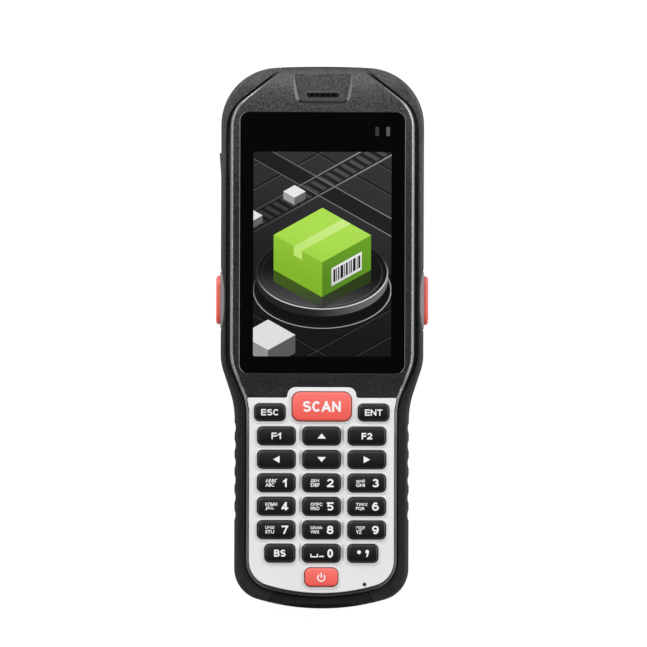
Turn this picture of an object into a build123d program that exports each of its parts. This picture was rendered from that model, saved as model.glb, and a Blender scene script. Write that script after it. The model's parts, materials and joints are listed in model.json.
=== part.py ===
from build123d import *
import math
import os

# Handheld barcode data terminal, lying on its back. Millimetres, +Z out of the display, +Y towards
# the scanner end, +X to the right of the display. Origin: centre of the footprint, on the table.

# --- Clearances ---------------------------------------------------------------------------------
FIT = 0.05  # between pieces that seat on each other
KEY_GAP = 0.2  # round each key cap
MOVE_GAP = 0.3  # round doors and flaps
OVERCUT = 5.0  # how far cutting shapes run past the body
NIP = 1.0  # how far a through cut runs past its faces
ROOT = 0.1  # how far a raised form is sunk into what carries it

# --- Keypad -------------------------------------------------------------------------------------
KEY_WIDTH, KEY_LENGTH, KEY_CORNER = 13.5, 6.5, 1.8
COLUMN_PITCH, ROW_PITCH = 16.1, 8.34
SHORT_KEY_WIDTH = 10.8
CORNER_KEY_WIDTH, CORNER_KEY_LENGTH = 11.0, 6.1
CORNER_KEY_OUTSET = 2.35  # how far escape and enter stand outside the key columns
SCAN_KEY_WIDTH, SCAN_KEY_LENGTH, SCAN_KEY_CORNER = 21.1, 10.4, 2.85
SCAN_KEY_RISE, SCAN_KEY_EXTRA = 2.1, 0.15  # towards the display from the escape key, and taller
POWER_KEY_WIDTH, POWER_KEY_LENGTH, POWER_KEY_CORNER = 11.85, 6.65, 2.1
TOP_KEY_TO_EDGE = 5.2
TOP_KEY_TO_ROW = 8.4
NUMBER_TO_POWER = 8.5
POWER_TO_EDGE = 5.7
KEY_TRAVEL = 0.6
KEY_FLANGE, KEY_FLANGE_WIDTH = 0.7, 0.6
KEY_PROUD = 1.25  # cap top above the plate
KEY_DRAFT = 4.0  # degrees
KEY_EDGE_ROUND = 0.7

# --- Keypad plate -------------------------------------------------------------------------------
PLATE_SIDE_MARGIN = 2.95
PLATE_THICKNESS = 2.0
PLATE_CORNER = 9.0
PLATE_FLARE, PLATE_FLARE_LENGTH = 0.85, 4.6
PLATE_TAB_MARGIN, PLATE_TAB_RISE, PLATE_TAB_CORNER = 1.75, 3.8, 3.0
PLATE_LEDGE, PLATE_GAP = 0.9, 0.25  # housing ledge under the plate's edge, and the gap beside it
PLATE_EDGE_ROUND = 0.3
PLATE_TAB_ROOT, PLATE_FLARE_TIP, PLATE_FLARE_ROUND = 0.8, 0.5, 6.0
LIP_WIDTH, LIP_HEIGHT, LIP_ROUND = 0.75, 0.25, 0.2
MICROPHONE_HOLE = 0.35
MICROPHONE_X, MICROPHONE_TO_EDGE = 15.4, 3.2

# --- Display ------------------------------------------------------------------------------------
GLASS_WIDTH, GLASS_LENGTH, GLASS_THICKNESS, GLASS_CORNER = 58.5, 92.7, 1.1, 3.0
GLASS_RECESS, GLASS_EDGE, GLASS_RECESS_EDGE = 0.5, 0.25, 0.2
VIEW_TO_SIDE, VIEW_TO_TOP, VIEW_TO_FOOT, VIEW_CORNER = 4.7, 14.0, 5.9, 0.7
MASK_THICKNESS, MASK_INSET = 0.25, 0.1
PANEL_SIDE, PANEL_TOP, PANEL_BOTTOM, PANEL_THICKNESS, PANEL_CORNER = 2.2, 3.0, 4.0, 3.2, 0.8
LIGHT_WIDTH, LIGHT_LENGTH, LIGHT_CORNER, LIGHT_FOOT = 1.35, 3.3, 0.4, 1.2
LIGHT_TO_SIDE, LIGHT_PITCH, LIGHT_TO_TOP = 7.9, 3.9, 6.7

# --- Body plan ----------------------------------------------------------------------------------
NECK_PANEL = 8.8  # between the glass and the keypad plate
TOP_PANEL = 16.4  # between the glass and the scanner end
GRIP_RIM, GRIP_BUMPER = 1.15, 4.1
RIM_FLAT, RIM_ROUND, GROOVE, HEAD_BUMPER = 2.2, 1.35, 1.25, 2.05
END_RIM, END_BUMPER = 1.4, 4.2
HEAD_CORNER, HEAD_CORNER_TILT = 20.6, 2.6
BOW_SHARE = 0.97  # of the largest radius that a bowed end can take
FOOT_CORNER, FOOT_TILT = 11.4, 16.0
NECK_LENGTH, NECK_BELOW_PLATE, NECK_TOP_ROUND, NECK_LOW_ROUND = 15.3, 2.9, 17.6, 30.0
INNER_NECK_TOP_SHIFT, INNER_NECK_LOW_SHIFT, INNER_NECK_LOW_ROUND = 0.4, 0.8, 18.0
WING_TIP, WING_TILT, WING_ROUND = 14.3, 38.9, 13.0
WALL = 2.0
SCALLOP_COUNT, SCALLOP_PITCH, SCALLOP_DEPTH, SCALLOP_ROUND = 6, 6.2, 0.4, 5.0
SCALLOP_BELOW_PLATE = 10.8

# --- Body depth ---------------------------------------------------------------------------------
REAR_DEPTH, FRONT_DEPTH = 16.0, 14.6
GRIP_STEP, GRIP_STEP_ROUND, RIM_PAST_GLASS = 1.0, 6.0, 1.2  # keypad face below the display rim
NOSE_DROP, NOSE_SLOPE, NOSE_ROUND = 5.0, 39.0, 22.0
BUMPER_STEP, BUMPER_GRIP_STEP, BUMPER_WING_STEP = 2.4, 2.0, 0.5
WING_END_ROUND, WING_TOP_ROUND, WING_RISE_ROUND, WING_PAST_GLASS, WING_RISE = 8.0, 10.0, 30.0, 1.0, 13.0
BUMPER_NECK_ROUND = 20.0
BUMPER_LOW, BUMPER_ROUND, BUMPER_INNER_EDGE = 8.0, 1.5, 0.35
RIM_ROOT = 1.2  # the groove beside the rim, below the bumper
PANEL_DEPTH = 3.4  # front housing face thickness
FLOOR = 2.2
GRIP_HOLLOW = 4.5  # back of the grip above the table
HUMP_END, HUMP_RUN = 12.0, 22.0  # hump edge above the plate top, and the length of its slope
HEEL_LENGTH, HEEL_RUN = 14.0, 6.0
HEEL_ROUND, HUMP_ROUND = 4.0, 30.0
REAR_INSET, REAR_ROUND = 0.6, 3.0

# --- Triggers -----------------------------------------------------------------------------------
TRIGGER_LENGTH, TRIGGER_HEIGHT, TRIGGER_PROUD, TRIGGER_ABOVE_GLASS_FOOT = 17.4, 7.5, 1.75, 25.9
TRIGGER_TRAVEL, TRIGGER_FLANGE, TRIGGER_FLANGE_WIDTH = 0.6, 0.7, 0.9
TRIGGER_EDGE_ROUND = 1.1
SCOOP_WALL = 0.7
BEZEL_MARGIN, BEZEL_PROUD, BEZEL_CHAMFER = 2.6, 0.25, 1.3
STEM_LENGTH, STEM_HEIGHT, STEM_REACH = 6.0, 3.4, 0.5
SWITCH_LENGTH, SWITCH_WIDTH = 6.2, 4.0

# --- Port flap ----------------------------------------------------------------------------------
FLAP_LENGTH, FLAP_HEIGHT, FLAP_THICKNESS, FLAP_ABOVE_TRIGGER = 24.8, 9.6, 1.8, 27.6
LIP_LENGTH, LIP_PROUD = 9.6, 0.65
FLAP_PIN, PIN_ENGAGEMENT = 0.5, 1.2
FLAP_ABOVE_PORT = 1.5
PORT_WIDTH, PORT_HEIGHT, PORT_DEPTH, PORT_WALL, PORT_Z = 9.0, 3.3, 7.0, 0.35, 13.0
PORT_TONGUE_GAP, PORT_TONGUE_SETBACK, PORT_TONGUE_THICKNESS, PORT_BACK = 1.2, 0.8, 0.7, 0.5

# --- Scanner, camera, sound ---------------------------------------------------------------------
ENGINE_WIDTH, ENGINE_LENGTH, ENGINE_HEIGHT, ENGINE_LENS = 22.0, 15.0, 9.0, 2.6
ENGINE_SETBACK, ENGINE_BARREL, ENGINE_AIMER = 1.2, 1.0, 1.82
ENGINE_CORNER = 0.8
SCAN_WINDOW_WIDTH, SCAN_WINDOW_HEIGHT, SCAN_WINDOW_THICKNESS, SCAN_Z = 23.0, 8.0, 1.4, 9.5
SCAN_WINDOW_INSET, SCAN_WINDOW_CORNER, SCAN_WINDOW_LEDGE = 0.4, 1.5, 1.0
BRACKET_THICKNESS, BRACKET_REACH, BRACKET_WALL = 1.2, 2.0, 6.3
BRACKET_FOOT_WIDTH, BRACKET_FOOT_LENGTH = 3.0, 6.0
CAMERA_WINDOW_RADIUS, CAMERA_WINDOW_THICKNESS, CAMERA_TO_TOP = 5.5, 1.0, 33.0
CAMERA_BODY, CAMERA_HEIGHT, CAMERA_BARREL, CAMERA_LEDGE, CAMERA_RECESS = 8.5, 3.6, 3.0, 1.0, 0.3
SPEAKER_LENGTH, SPEAKER_WIDTH, SPEAKER_HEIGHT, SPEAKER_CORNER, SPEAKER_TO_TOP = 20.0, 12.0, 4.0, 2.5, 64.0
SOUND_SLOTS, SOUND_SLOT_PITCH, SOUND_SLOT_WIDTH = 5, 2.2, 1.1
EAR_SLOT_WIDTH, EAR_SLOT_LENGTH, EAR_TO_GLASS = 11.7, 1.7, 6.2
EAR_RECESS_NEAR, EAR_RECESS_FAR, EAR_RECESS_LENGTH = 17.6, 23.0, 9.6
EAR_RECESS_DEPTH, EAR_RECESS_FALL = 1.4, 1.7
EAR_RECESS_TO_SLOT, EAR_RECESS_CORNER, EAR_RECESS_TIP, EAR_RECESS_DRAFT = 2.1, 1.2, 0.5, 35.0
EAR_ROOF, EAR_SEAT = 0.6, 0.4  # housing over the grille, and the grille's edge
EAR_GRILLE_THICKNESS, EAR_GRILLE_HOLES, EAR_GRILLE_SHARE = 0.3, 5, 0.6
EARPIECE_HEIGHT, EARPIECE_WIDTH, EARPIECE_LENGTH, EARPIECE_CORNER, EARPIECE_SEAT = 2.6, 13.0, 5.0, 1.2, 1.1

# --- Battery, its door and latch ----------------------------------------------------------------
BATTERY_WIDTH, BATTERY_LENGTH, BATTERY_ROUND, BATTERY_TO_FOOT = 40.0, 58.0, 2.0, 24.0
BAY_WALL, BAY_GAP = 1.3, 0.4
CONTACT_GAP = 0.2
DOOR_THICKNESS, DOOR_MARGIN, DOOR_CORNER = 2.2, 2.0, 3.0
DOOR_PIN = 0.5
LATCH_WIDTH, LATCH_LENGTH, LATCH_SKIN, LATCH_TRAVEL, LATCH_TO_EDGE = 13.0, 7.0, 1.1, 2.5, 2.5
LATCH_GRIPS, LATCH_GRIP_PITCH, LATCH_GRIP_WIDTH, LATCH_GRIP_DEPTH, LATCH_GRIP_MARGIN = 3, 1.6, 0.7, 0.4, 1.5
TONGUE_WIDTH, TONGUE_REACH, TONGUE_THICKNESS = 7.0, 1.6, 1.2
STEM_FOOT, STEM_TOP = 1.5, 1.0  # latch stem inside the thumb piece
CONTACT_BLOCK_WIDTH, CONTACT_BLOCK_HEIGHT, CONTACT_BLOCK_DEPTH = 14.0, 6.0, 3.2

# --- Boards and frame ---------------------------------------------------------------------------
FRAME_THICKNESS, FRAME_RIB, FRAME_RIB_WIDTH, FRAME_GAP = 1.4, 1.6, 2.0, 0.4
BOARD_THICKNESS, BOARD_UNDER_FRAME = 1.2, 2.4
BOARD_GAP, BOARD_TO_TOP, BOARD_PAST_GLASS, BOSS_GAP = 1.0, 22.0, 6.0, 0.5
POST_RADIUS, POST_X, POST_FROM_FOOT, POST_FROM_TOP = 2.0, 20.0, 24.0, 10.0
SHIELD_WIDTH, SHIELD_LENGTH, SHIELD_HEIGHT, SHIELD_GAP = 24.0, 20.0, 2.0, 4.0
MAT_THICKNESS, MAT_NUB, MAT_NUB_RADIUS, MAT_MARGIN = 0.8, 0.35, 1.2, 0.3
DOME_SHEET, DOME_HEIGHT, DOME_RADIUS, DOME_CROWN, DOME_MARGIN = 0.15, 0.3, 2.2, 1.32, 0.6
MICROPHONE_RADIUS, MICROPHONE_HEIGHT = 0.8, 1.4

# --- Fasteners, gasket, dock --------------------------------------------------------------------
SCREW_SHANK, SCREW_HEAD, SCREW_HEAD_HEIGHT, SCREW_LENGTH = 1.25, 2.3, 1.8, 18.0
SCREW_SEAT = 1.0  # underside of the head above the table
SCREW_SOCKET, SCREW_SOCKET_DEPTH, SCREW_TIP_GAP = 1.0, 1.0, 0.4
BOSS_RADIUS, BOSS_INTO_WALL, BOSS_FOOT = 2.6, 0.6, 0.5
HEAD_SCREW_TO_TOP, WAIST_SCREW_ABOVE_TRIGGER, FOOT_SCREW_X, FOOT_SCREW_TO_END = 26.0, 11.5, 19.0, 11.0
GASKET_WIDTH, GASKET_HEIGHT = 0.7, 0.9
DOCK_PINS, DOCK_PIN_PITCH, DOCK_PIN_WIDTH, DOCK_PIN_HEIGHT = 8, 2.6, 1.4, 4.0
DOCK_HALF_WIDTH, DOCK_RECESS, DOCK_STEP, DOCK_Z = 18.7, 1.6, 1.5, 12.5
DOCK_PIN_PROUD, DOCK_PIN_TAIL, DOCK_MARGIN = 0.3, 1.0, 1.5
STRAP_HOLE_RADIUS, STRAP_HOLE_DEPTH, STRAP_HOLE_SPACING, STRAP_TO_TOP = 1.25, 5.0, 34.0, 50.0
STRAP_WALL, STRAP_ROOF = 1.6, 1.5

# --- Lengthwise stations, stacked from the foot and then centred --------------------------------
NUMBER_ROWS = 6
PLATE_LENGTH = (
    POWER_TO_EDGE + NUMBER_TO_POWER + (NUMBER_ROWS - 1) * ROW_PITCH + TOP_KEY_TO_ROW + TOP_KEY_TO_EDGE
)
LENGTH = END_BUMPER + END_RIM + PLATE_LENGTH + NECK_PANEL + GLASS_LENGTH + TOP_PANEL
FOOT_Y, TOP_Y = -LENGTH / 2, LENGTH / 2
PLATE_FOOT_Y = FOOT_Y + END_BUMPER + END_RIM
POWER_Y = PLATE_FOOT_Y + POWER_TO_EDGE
FIRST_ROW_Y = POWER_Y + NUMBER_TO_POWER
CORNER_KEY_Y = FIRST_ROW_Y + (NUMBER_ROWS - 1) * ROW_PITCH + TOP_KEY_TO_ROW
PLATE_TOP_Y = CORNER_KEY_Y + TOP_KEY_TO_EDGE
GLASS_FOOT_Y = PLATE_TOP_Y + NECK_PANEL
GLASS_TOP_Y = GLASS_FOOT_Y + GLASS_LENGTH
VIEW_LENGTH = GLASS_LENGTH - VIEW_TO_TOP - VIEW_TO_FOOT
VIEW_TOP_Y = GLASS_TOP_Y - VIEW_TO_TOP
VIEW_Y = VIEW_TOP_Y - VIEW_LENGTH / 2
EAR_Y = GLASS_TOP_Y + EAR_TO_GLASS
TRIGGER_Y = GLASS_FOOT_Y + TRIGGER_ABOVE_GLASS_FOOT
FLAP_FOOT_Y = TRIGGER_Y + FLAP_ABOVE_TRIGGER
NECK_FOOT_Y = PLATE_TOP_Y - NECK_BELOW_PLATE
NECK_TOP_Y = NECK_FOOT_Y + NECK_LENGTH
BATTERY_FOOT_Y = FOOT_Y + BATTERY_TO_FOOT
BATTERY_TOP_Y = BATTERY_FOOT_Y + BATTERY_LENGTH

# --- Widths from the centre line ----------------------------------------------------------------
PLATE_HALF = COLUMN_PITCH + KEY_WIDTH / 2 + PLATE_SIDE_MARGIN
GRIP_RIM_HALF = PLATE_HALF + GRIP_RIM
GRIP_HALF = GRIP_RIM_HALF + GRIP_BUMPER
VIEW_WIDTH = GLASS_WIDTH - 2 * VIEW_TO_SIDE
LIGHT_X = GLASS_WIDTH / 2 - LIGHT_TO_SIDE
HEAD_RIM_HALF = GLASS_WIDTH / 2 + RIM_FLAT + RIM_ROUND
HEAD_INNER_HALF = HEAD_RIM_HALF + GROOVE
HEAD_HALF = HEAD_INNER_HALF + HEAD_BUMPER
TRIGGER_HALF = HEAD_HALF + TRIGGER_PROUD

# --- Heights above the table --------------------------------------------------------------------
RIM_Z = REAR_DEPTH + FRONT_DEPTH
PAD_Z = RIM_Z - GRIP_STEP
GLASS_TOP_Z = RIM_Z - GLASS_RECESS
MASK_TOP_Z = GLASS_TOP_Z - GLASS_THICKNESS
LEDGE_Z = MASK_TOP_Z - MASK_THICKNESS
PANEL_TOP_Z = LEDGE_Z - FIT
PANEL_LOW_Z = PANEL_TOP_Z - PANEL_THICKNESS
PLATE_LOW_Z = PAD_Z - PLATE_THICKNESS
FLANGE_TOP_Z = PLATE_LOW_Z - FIT
FLANGE_LOW_Z = FLANGE_TOP_Z - KEY_FLANGE
MAT_TOP_Z = FLANGE_LOW_Z - KEY_TRAVEL - FIT
MAT_LOW_Z = MAT_TOP_Z - MAT_THICKNESS
DOME_TOP_Z = MAT_LOW_Z - MAT_NUB - FIT
KEYBOARD_TOP_Z = DOME_TOP_Z - DOME_HEIGHT - DOME_SHEET
KEYBOARD_LOW_Z = KEYBOARD_TOP_Z - BOARD_THICKNESS
FRAME_TOP_Z = min(KEYBOARD_LOW_Z, PANEL_LOW_Z - FRAME_RIB)
FRAME_LOW_Z = FRAME_TOP_Z - FRAME_THICKNESS
BOARD_TOP_Z = FRAME_LOW_Z - BOARD_UNDER_FRAME
BOARD_LOW_Z = BOARD_TOP_Z - BOARD_THICKNESS
BUMPER_Z = RIM_Z - BUMPER_STEP
DOOR_Z = GRIP_HOLLOW
BATTERY_LOW_Z = DOOR_Z + DOOR_THICKNESS + TONGUE_THICKNESS + BAY_GAP
BATTERY_TOP_Z = FRAME_LOW_Z - FIT - BAY_WALL - BAY_GAP
TRIGGER_Z = REAR_DEPTH
SIDES = (-1, 1)
KEY_NAMES = ("f1", "up", "f2", "left", "down", "right", *(str(n) for n in range(1, 10)))


def symmetric_face(corners):
    """Face mirrored about x = 0 from the (x, y, radius) corners of its right half, top to foot."""
    mirrored = [(-x, y, radius) for x, y, radius in reversed(corners) if x > 0]
    loop = corners + mirrored
    outline = FilletPolyline(
        [(x, y) for x, y, _ in loop], radius=[radius for _, _, radius in loop], close=True
    )
    return make_face(outline.edges())


def bowed_end(half_width, end_y, corner_round, tilt, way):
    """Corner and centre of a bowed end: way is 1 for the scanner end and -1 for the foot."""
    angle = math.radians(tilt)
    run = half_width / math.cos(angle) - corner_round * math.tan((math.pi / 2 - angle) / 2)
    bow = BOW_SHARE * run / math.tan(angle)
    centre_y = end_y + way * bow * (1 / math.cos(angle) - 1)
    corner = (half_width, centre_y - way * half_width * math.tan(angle), corner_round)
    return corner, (0, centre_y, bow)


def prism(face, low, high):
    return extrude(Pos(0, 0, low) * face, high - low)


def side_prism(stations):
    """Solid across the body from (y, z, radius) corners of its side view."""
    outline = FilletPolyline(
        [(y, z) for y, z, _ in stations], radius=[radius for _, _, radius in stations], close=True
    )
    return extrude(Plane.YZ * make_face(outline.edges()), TRIGGER_HALF + OVERCUT, both=True)


def block(x, y, z):
    """Box from its low and high limits along each axis."""
    size = [high - low for low, high in (x, y, z)]
    middle = [(high + low) / 2 for low, high in (x, y, z)]
    return Pos(*middle) * Box(*size)


def post(x, y, low, high, radius):
    return Pos(x, y, (low + high) / 2) * Cylinder(radius, high - low)


def side_slot(x, length, height, y, z, depth):
    """Stadium prism through the side wall, from x outwards by depth. length runs along Y."""
    slot = Plane(origin=(x, y, z), x_dir=(0, 1, 0), z_dir=(1, 0, 0)) * SlotOverall(length, height)
    return extrude(slot, depth)


def rim_edges(solid, upward):
    """Edges where upright walls meet the faces that look up, or down."""
    walls = [face for face in solid.faces() if abs(face.normal_at().Z) < 0.01]
    caps = [face for face in solid.faces() if face.normal_at().Z * upward > 0.1]
    wall_edges = [edge for wall in walls for edge in wall.edges()]
    return [edge for cap in caps for edge in cap.edges() if any(edge.is_same(other) for other in wall_edges)]


def inward_edges(solid):
    """Those rim edges of a ring that lie on its inner walls."""
    inner = []
    walls = [face for face in solid.faces() if abs(face.normal_at().Z) < 0.01]
    for edge in rim_edges(solid, 1):
        middle = edge @ 0.5
        wall = min(walls, key=lambda face: face.distance_to(middle))
        normal = wall.normal_at(middle)
        if normal.X * middle.X + normal.Y * middle.Y < 0:
            inner.append(edge)
    return inner


def outline_face():
    """Footprint of the whole body."""
    head, bow = bowed_end(HEAD_HALF, TOP_Y, HEAD_CORNER, HEAD_CORNER_TILT, 1)
    foot, foot_bow = bowed_end(GRIP_HALF, FOOT_Y, FOOT_CORNER, FOOT_TILT, -1)
    neck = [(HEAD_HALF, NECK_TOP_Y, NECK_TOP_ROUND), (GRIP_HALF, NECK_FOOT_Y, NECK_LOW_ROUND)]
    return symmetric_face([bow, head, *neck, foot, foot_bow])


def inner_face(head_half, grip_half, end_gap, wing_gap):
    """Footprint inside the bumper. It runs out past the scanner end between the bumper's wings."""
    slope = math.tan(math.radians(WING_TILT))
    shift = wing_gap / math.sin(math.radians(WING_TILT))
    tip = WING_TIP - shift
    wing = [
        (tip - OVERCUT / slope, TOP_Y + OVERCUT, 0),
        (head_half, TOP_Y - (head_half - tip) * slope, WING_ROUND),
    ]
    neck = [
        (head_half, NECK_TOP_Y + INNER_NECK_TOP_SHIFT, NECK_TOP_ROUND),
        (grip_half, NECK_FOOT_Y + INNER_NECK_LOW_SHIFT, INNER_NECK_LOW_ROUND),
    ]
    corner = PLATE_CORNER + END_RIM - end_gap
    foot, foot_bow = bowed_end(grip_half, FOOT_Y + END_BUMPER + end_gap, corner, FOOT_TILT, -1)
    return symmetric_face([*wing, *neck, foot, foot_bow])


def housing_face():
    """Footprint of both housings where the bumper wraps them."""
    return outline_face() & inner_face(HEAD_INNER_HALF, GRIP_RIM_HALF, 0.0, 0.0)


def cavity_face(wall=WALL):
    return offset(housing_face(), -wall)


def front_profile(drop=0.0):
    """Side view under the front face: display rim level, keypad face lower, nose sloping down."""
    slope = math.tan(math.radians(NOSE_SLOPE))
    nose_z = RIM_Z - NOSE_DROP
    nose_y = TOP_Y - NOSE_DROP / slope
    return side_prism(
        [
            (TOP_Y + OVERCUT, nose_z - OVERCUT * slope - drop, 0),
            (nose_y, RIM_Z - drop, NOSE_ROUND),
            (GLASS_FOOT_Y - RIM_PAST_GLASS, RIM_Z - drop, GRIP_STEP_ROUND),
            (PLATE_TOP_Y + PLATE_TAB_RISE, PAD_Z - drop, GRIP_STEP_ROUND),
            (FOOT_Y - OVERCUT, PAD_Z - drop, 0),
            (FOOT_Y - OVERCUT, -OVERCUT, 0),
            (TOP_Y + OVERCUT, -OVERCUT, 0),
        ]
    )


def bumper_profile():
    """Side view under the bumper: it rises into the wings beside the nose."""
    slope = math.tan(math.radians(NOSE_SLOPE))
    wing_z = RIM_Z - BUMPER_WING_STEP
    end_z = RIM_Z - NOSE_DROP
    return side_prism(
        [
            (TOP_Y + OVERCUT, end_z - OVERCUT * slope, 0),
            (TOP_Y - (wing_z - end_z) / slope, wing_z, WING_END_ROUND),
            (GLASS_TOP_Y + WING_PAST_GLASS, wing_z, WING_TOP_ROUND),
            (GLASS_TOP_Y + WING_PAST_GLASS - WING_RISE, BUMPER_Z, WING_RISE_ROUND),
            (NECK_TOP_Y, BUMPER_Z, BUMPER_NECK_ROUND),
            (NECK_FOOT_Y, PAD_Z - BUMPER_GRIP_STEP, BUMPER_NECK_ROUND),
            (FOOT_Y - OVERCUT, PAD_Z - BUMPER_GRIP_STEP, 0),
            (FOOT_Y - OVERCUT, -OVERCUT, 0),
            (TOP_Y + OVERCUT, -OVERCUT, 0),
        ]
    )


def back_profile(rise=0.0):
    """Side view above the back: head hump and heel on the table, grip hollow between them."""
    hump_y = PLATE_TOP_Y + HUMP_END + HUMP_RUN
    heel_y = FOOT_Y + HEEL_LENGTH
    return side_prism(
        [
            (TOP_Y + OVERCUT, rise, 0),
            (TOP_Y + OVERCUT, RIM_Z + OVERCUT, 0),
            (FOOT_Y - OVERCUT, RIM_Z + OVERCUT, 0),
            (FOOT_Y - OVERCUT, rise, 0),
            (heel_y, rise, HEEL_ROUND),
            (heel_y + HEEL_RUN, GRIP_HOLLOW + rise, HEEL_ROUND),
            (hump_y - HUMP_RUN, GRIP_HOLLOW + rise, HUMP_ROUND),
            (hump_y, rise, HUMP_ROUND),
        ]
    )


def screw_places():
    """Screw centres: two pairs in the head, one pair at the foot."""
    head_x = HEAD_INNER_HALF - WALL - BOSS_RADIUS + BOSS_INTO_WALL
    places = []
    for side in SIDES:
        places.append((side * head_x, TOP_Y - HEAD_SCREW_TO_TOP))
        places.append((side * head_x, TRIGGER_Y + WAIST_SCREW_ABOVE_TRIGGER))
        places.append((side * FOOT_SCREW_X, FOOT_Y + FOOT_SCREW_TO_END))
    return places


def key_places():
    """Name, centre, plan size and corner radius of every key."""
    places = [
        ("key_scan", 0, CORNER_KEY_Y + SCAN_KEY_RISE, SCAN_KEY_WIDTH, SCAN_KEY_LENGTH, SCAN_KEY_CORNER),
        ("key_power", 0, POWER_Y, POWER_KEY_WIDTH, POWER_KEY_LENGTH, POWER_KEY_CORNER),
        ("key_0", 0, FIRST_ROW_Y, KEY_WIDTH, KEY_LENGTH, KEY_CORNER),
    ]
    for name, side in (("key_escape", -1), ("key_enter", 1)):
        x = side * (COLUMN_PITCH + CORNER_KEY_OUTSET)
        places.append((name, x, CORNER_KEY_Y, CORNER_KEY_WIDTH, CORNER_KEY_LENGTH, KEY_CORNER))
    inward = COLUMN_PITCH - (KEY_WIDTH - SHORT_KEY_WIDTH) / 2
    for name, side in (("key_backspace", -1), ("key_point", 1)):
        places.append((name, side * inward, FIRST_ROW_Y, SHORT_KEY_WIDTH, KEY_LENGTH, KEY_CORNER))
    for index, name in enumerate(KEY_NAMES):
        row, column = divmod(index, 3)
        y = FIRST_ROW_Y + (NUMBER_ROWS - 1 - row) * ROW_PITCH
        places.append((f"key_{name}", (column - 1) * COLUMN_PITCH, y, KEY_WIDTH, KEY_LENGTH, KEY_CORNER))
    return places


def key_face(key, grow):
    """Rounded plan of one key, grown all round."""
    _, x, y, width, length, radius = key
    return Pos(x, y) * RectangleRounded(width + 2 * grow, length + 2 * grow, radius + grow)


def key_cap(key):
    """Moulded cap with drafted sides and a flange that stops it under the plate."""
    top = PAD_Z + KEY_PROUD + (SCAN_KEY_EXTRA if key[0] == "key_scan" else 0.0)
    cap = extrude(Pos(0, 0, FLANGE_TOP_Z) * key_face(key, 0), top - FLANGE_TOP_Z, taper=KEY_DRAFT / 2)
    rim = cap.faces().sort_by(Axis.Z)[-1].edges()
    cap = fillet(rim, KEY_EDGE_ROUND)
    return cap + prism(key_face(key, KEY_FLANGE_WIDTH), FLANGE_LOW_Z, FLANGE_TOP_Z)


def plate_face(grow=0.0):
    """Footprint of the keypad plate with the tab round the scan key."""
    tab_half = SCAN_KEY_WIDTH / 2 + PLATE_TAB_MARGIN
    corner, bow = bowed_end(PLATE_HALF, PLATE_FOOT_Y, PLATE_CORNER, FOOT_TILT, -1)
    face = symmetric_face(
        [
            (tab_half, PLATE_TOP_Y + PLATE_TAB_RISE, PLATE_TAB_CORNER),
            (tab_half, PLATE_TOP_Y, PLATE_TAB_ROOT),
            (PLATE_HALF + PLATE_FLARE, PLATE_TOP_Y, PLATE_FLARE_TIP),
            (PLATE_HALF, PLATE_TOP_Y - PLATE_FLARE_LENGTH, PLATE_FLARE_ROUND),
            corner,
            bow,
        ]
    )
    return offset(face, grow) if grow else face


def microphone_place():
    return MICROPHONE_X, PLATE_FOOT_Y + MICROPHONE_TO_EDGE


def keypad_plate():
    plate = prism(plate_face(), PLATE_LOW_Z, PAD_Z)
    plate = fillet(plate.faces().sort_by(Axis.Z)[-1].edges(), PLATE_EDGE_ROUND)
    for key in key_places():
        lip = prism(key_face(key, KEY_GAP + LIP_WIDTH), PAD_Z - ROOT, PAD_Z + LIP_HEIGHT)
        plate += fillet(lip.faces().sort_by(Axis.Z)[-1].edges(), LIP_ROUND)
    for key in key_places():
        plate -= prism(key_face(key, KEY_GAP), PLATE_LOW_Z - NIP, PAD_Z + NIP)
    x, y = microphone_place()
    return plate - post(x, y, PLATE_LOW_Z - NIP, PAD_Z + NIP, MICROPHONE_HOLE)


def glass_face(grow=0.0):
    middle = (GLASS_FOOT_Y + GLASS_TOP_Y) / 2
    sheet = RectangleRounded(GLASS_WIDTH + 2 * grow, GLASS_LENGTH + 2 * grow, GLASS_CORNER + grow)
    return Pos(0, middle) * sheet


def light_faces(grow=0.0):
    places = [(LIGHT_X + half * LIGHT_PITCH / 2, GLASS_TOP_Y - LIGHT_TO_TOP) for half in SIDES]
    windows = Sketch()
    for x, y in places:
        windows += Pos(x, y) * RectangleRounded(LIGHT_WIDTH + grow, LIGHT_LENGTH + grow, LIGHT_CORNER)
    return windows


def panel_limits(grow=0.0):
    """Low and high corners of the display module in plan."""
    half = VIEW_WIDTH / 2 + PANEL_SIDE + grow
    foot = VIEW_TOP_Y - VIEW_LENGTH - PANEL_BOTTOM - grow
    return (-half, half), (foot, VIEW_TOP_Y + PANEL_TOP + grow)


def cover_glass():
    glass = prism(glass_face(), MASK_TOP_Z, GLASS_TOP_Z)
    return chamfer(glass.faces().sort_by(Axis.Z)[-1].edges(), GLASS_EDGE)


def display_mask():
    """Black printed border with its adhesive, open over the view area and the status lights."""
    mask = prism(glass_face(-MASK_INSET), LEDGE_Z, MASK_TOP_Z)
    view = Pos(0, VIEW_Y) * RectangleRounded(VIEW_WIDTH, VIEW_LENGTH, VIEW_CORNER)
    return mask - prism(view, LEDGE_Z - NIP, RIM_Z) - prism(light_faces(), LEDGE_Z - NIP, RIM_Z)


def indicator_lenses():
    return prism(light_faces(-FIT), PANEL_LOW_Z + LIGHT_FOOT, LEDGE_Z)


def lcd_module():
    (x0, x1), (y0, y1) = panel_limits()
    module = block((x0, x1), (y0, y1), (PANEL_LOW_Z, PANEL_TOP_Z))
    return fillet(module.edges().filter_by(Axis.Z), PANEL_CORNER)


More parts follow.
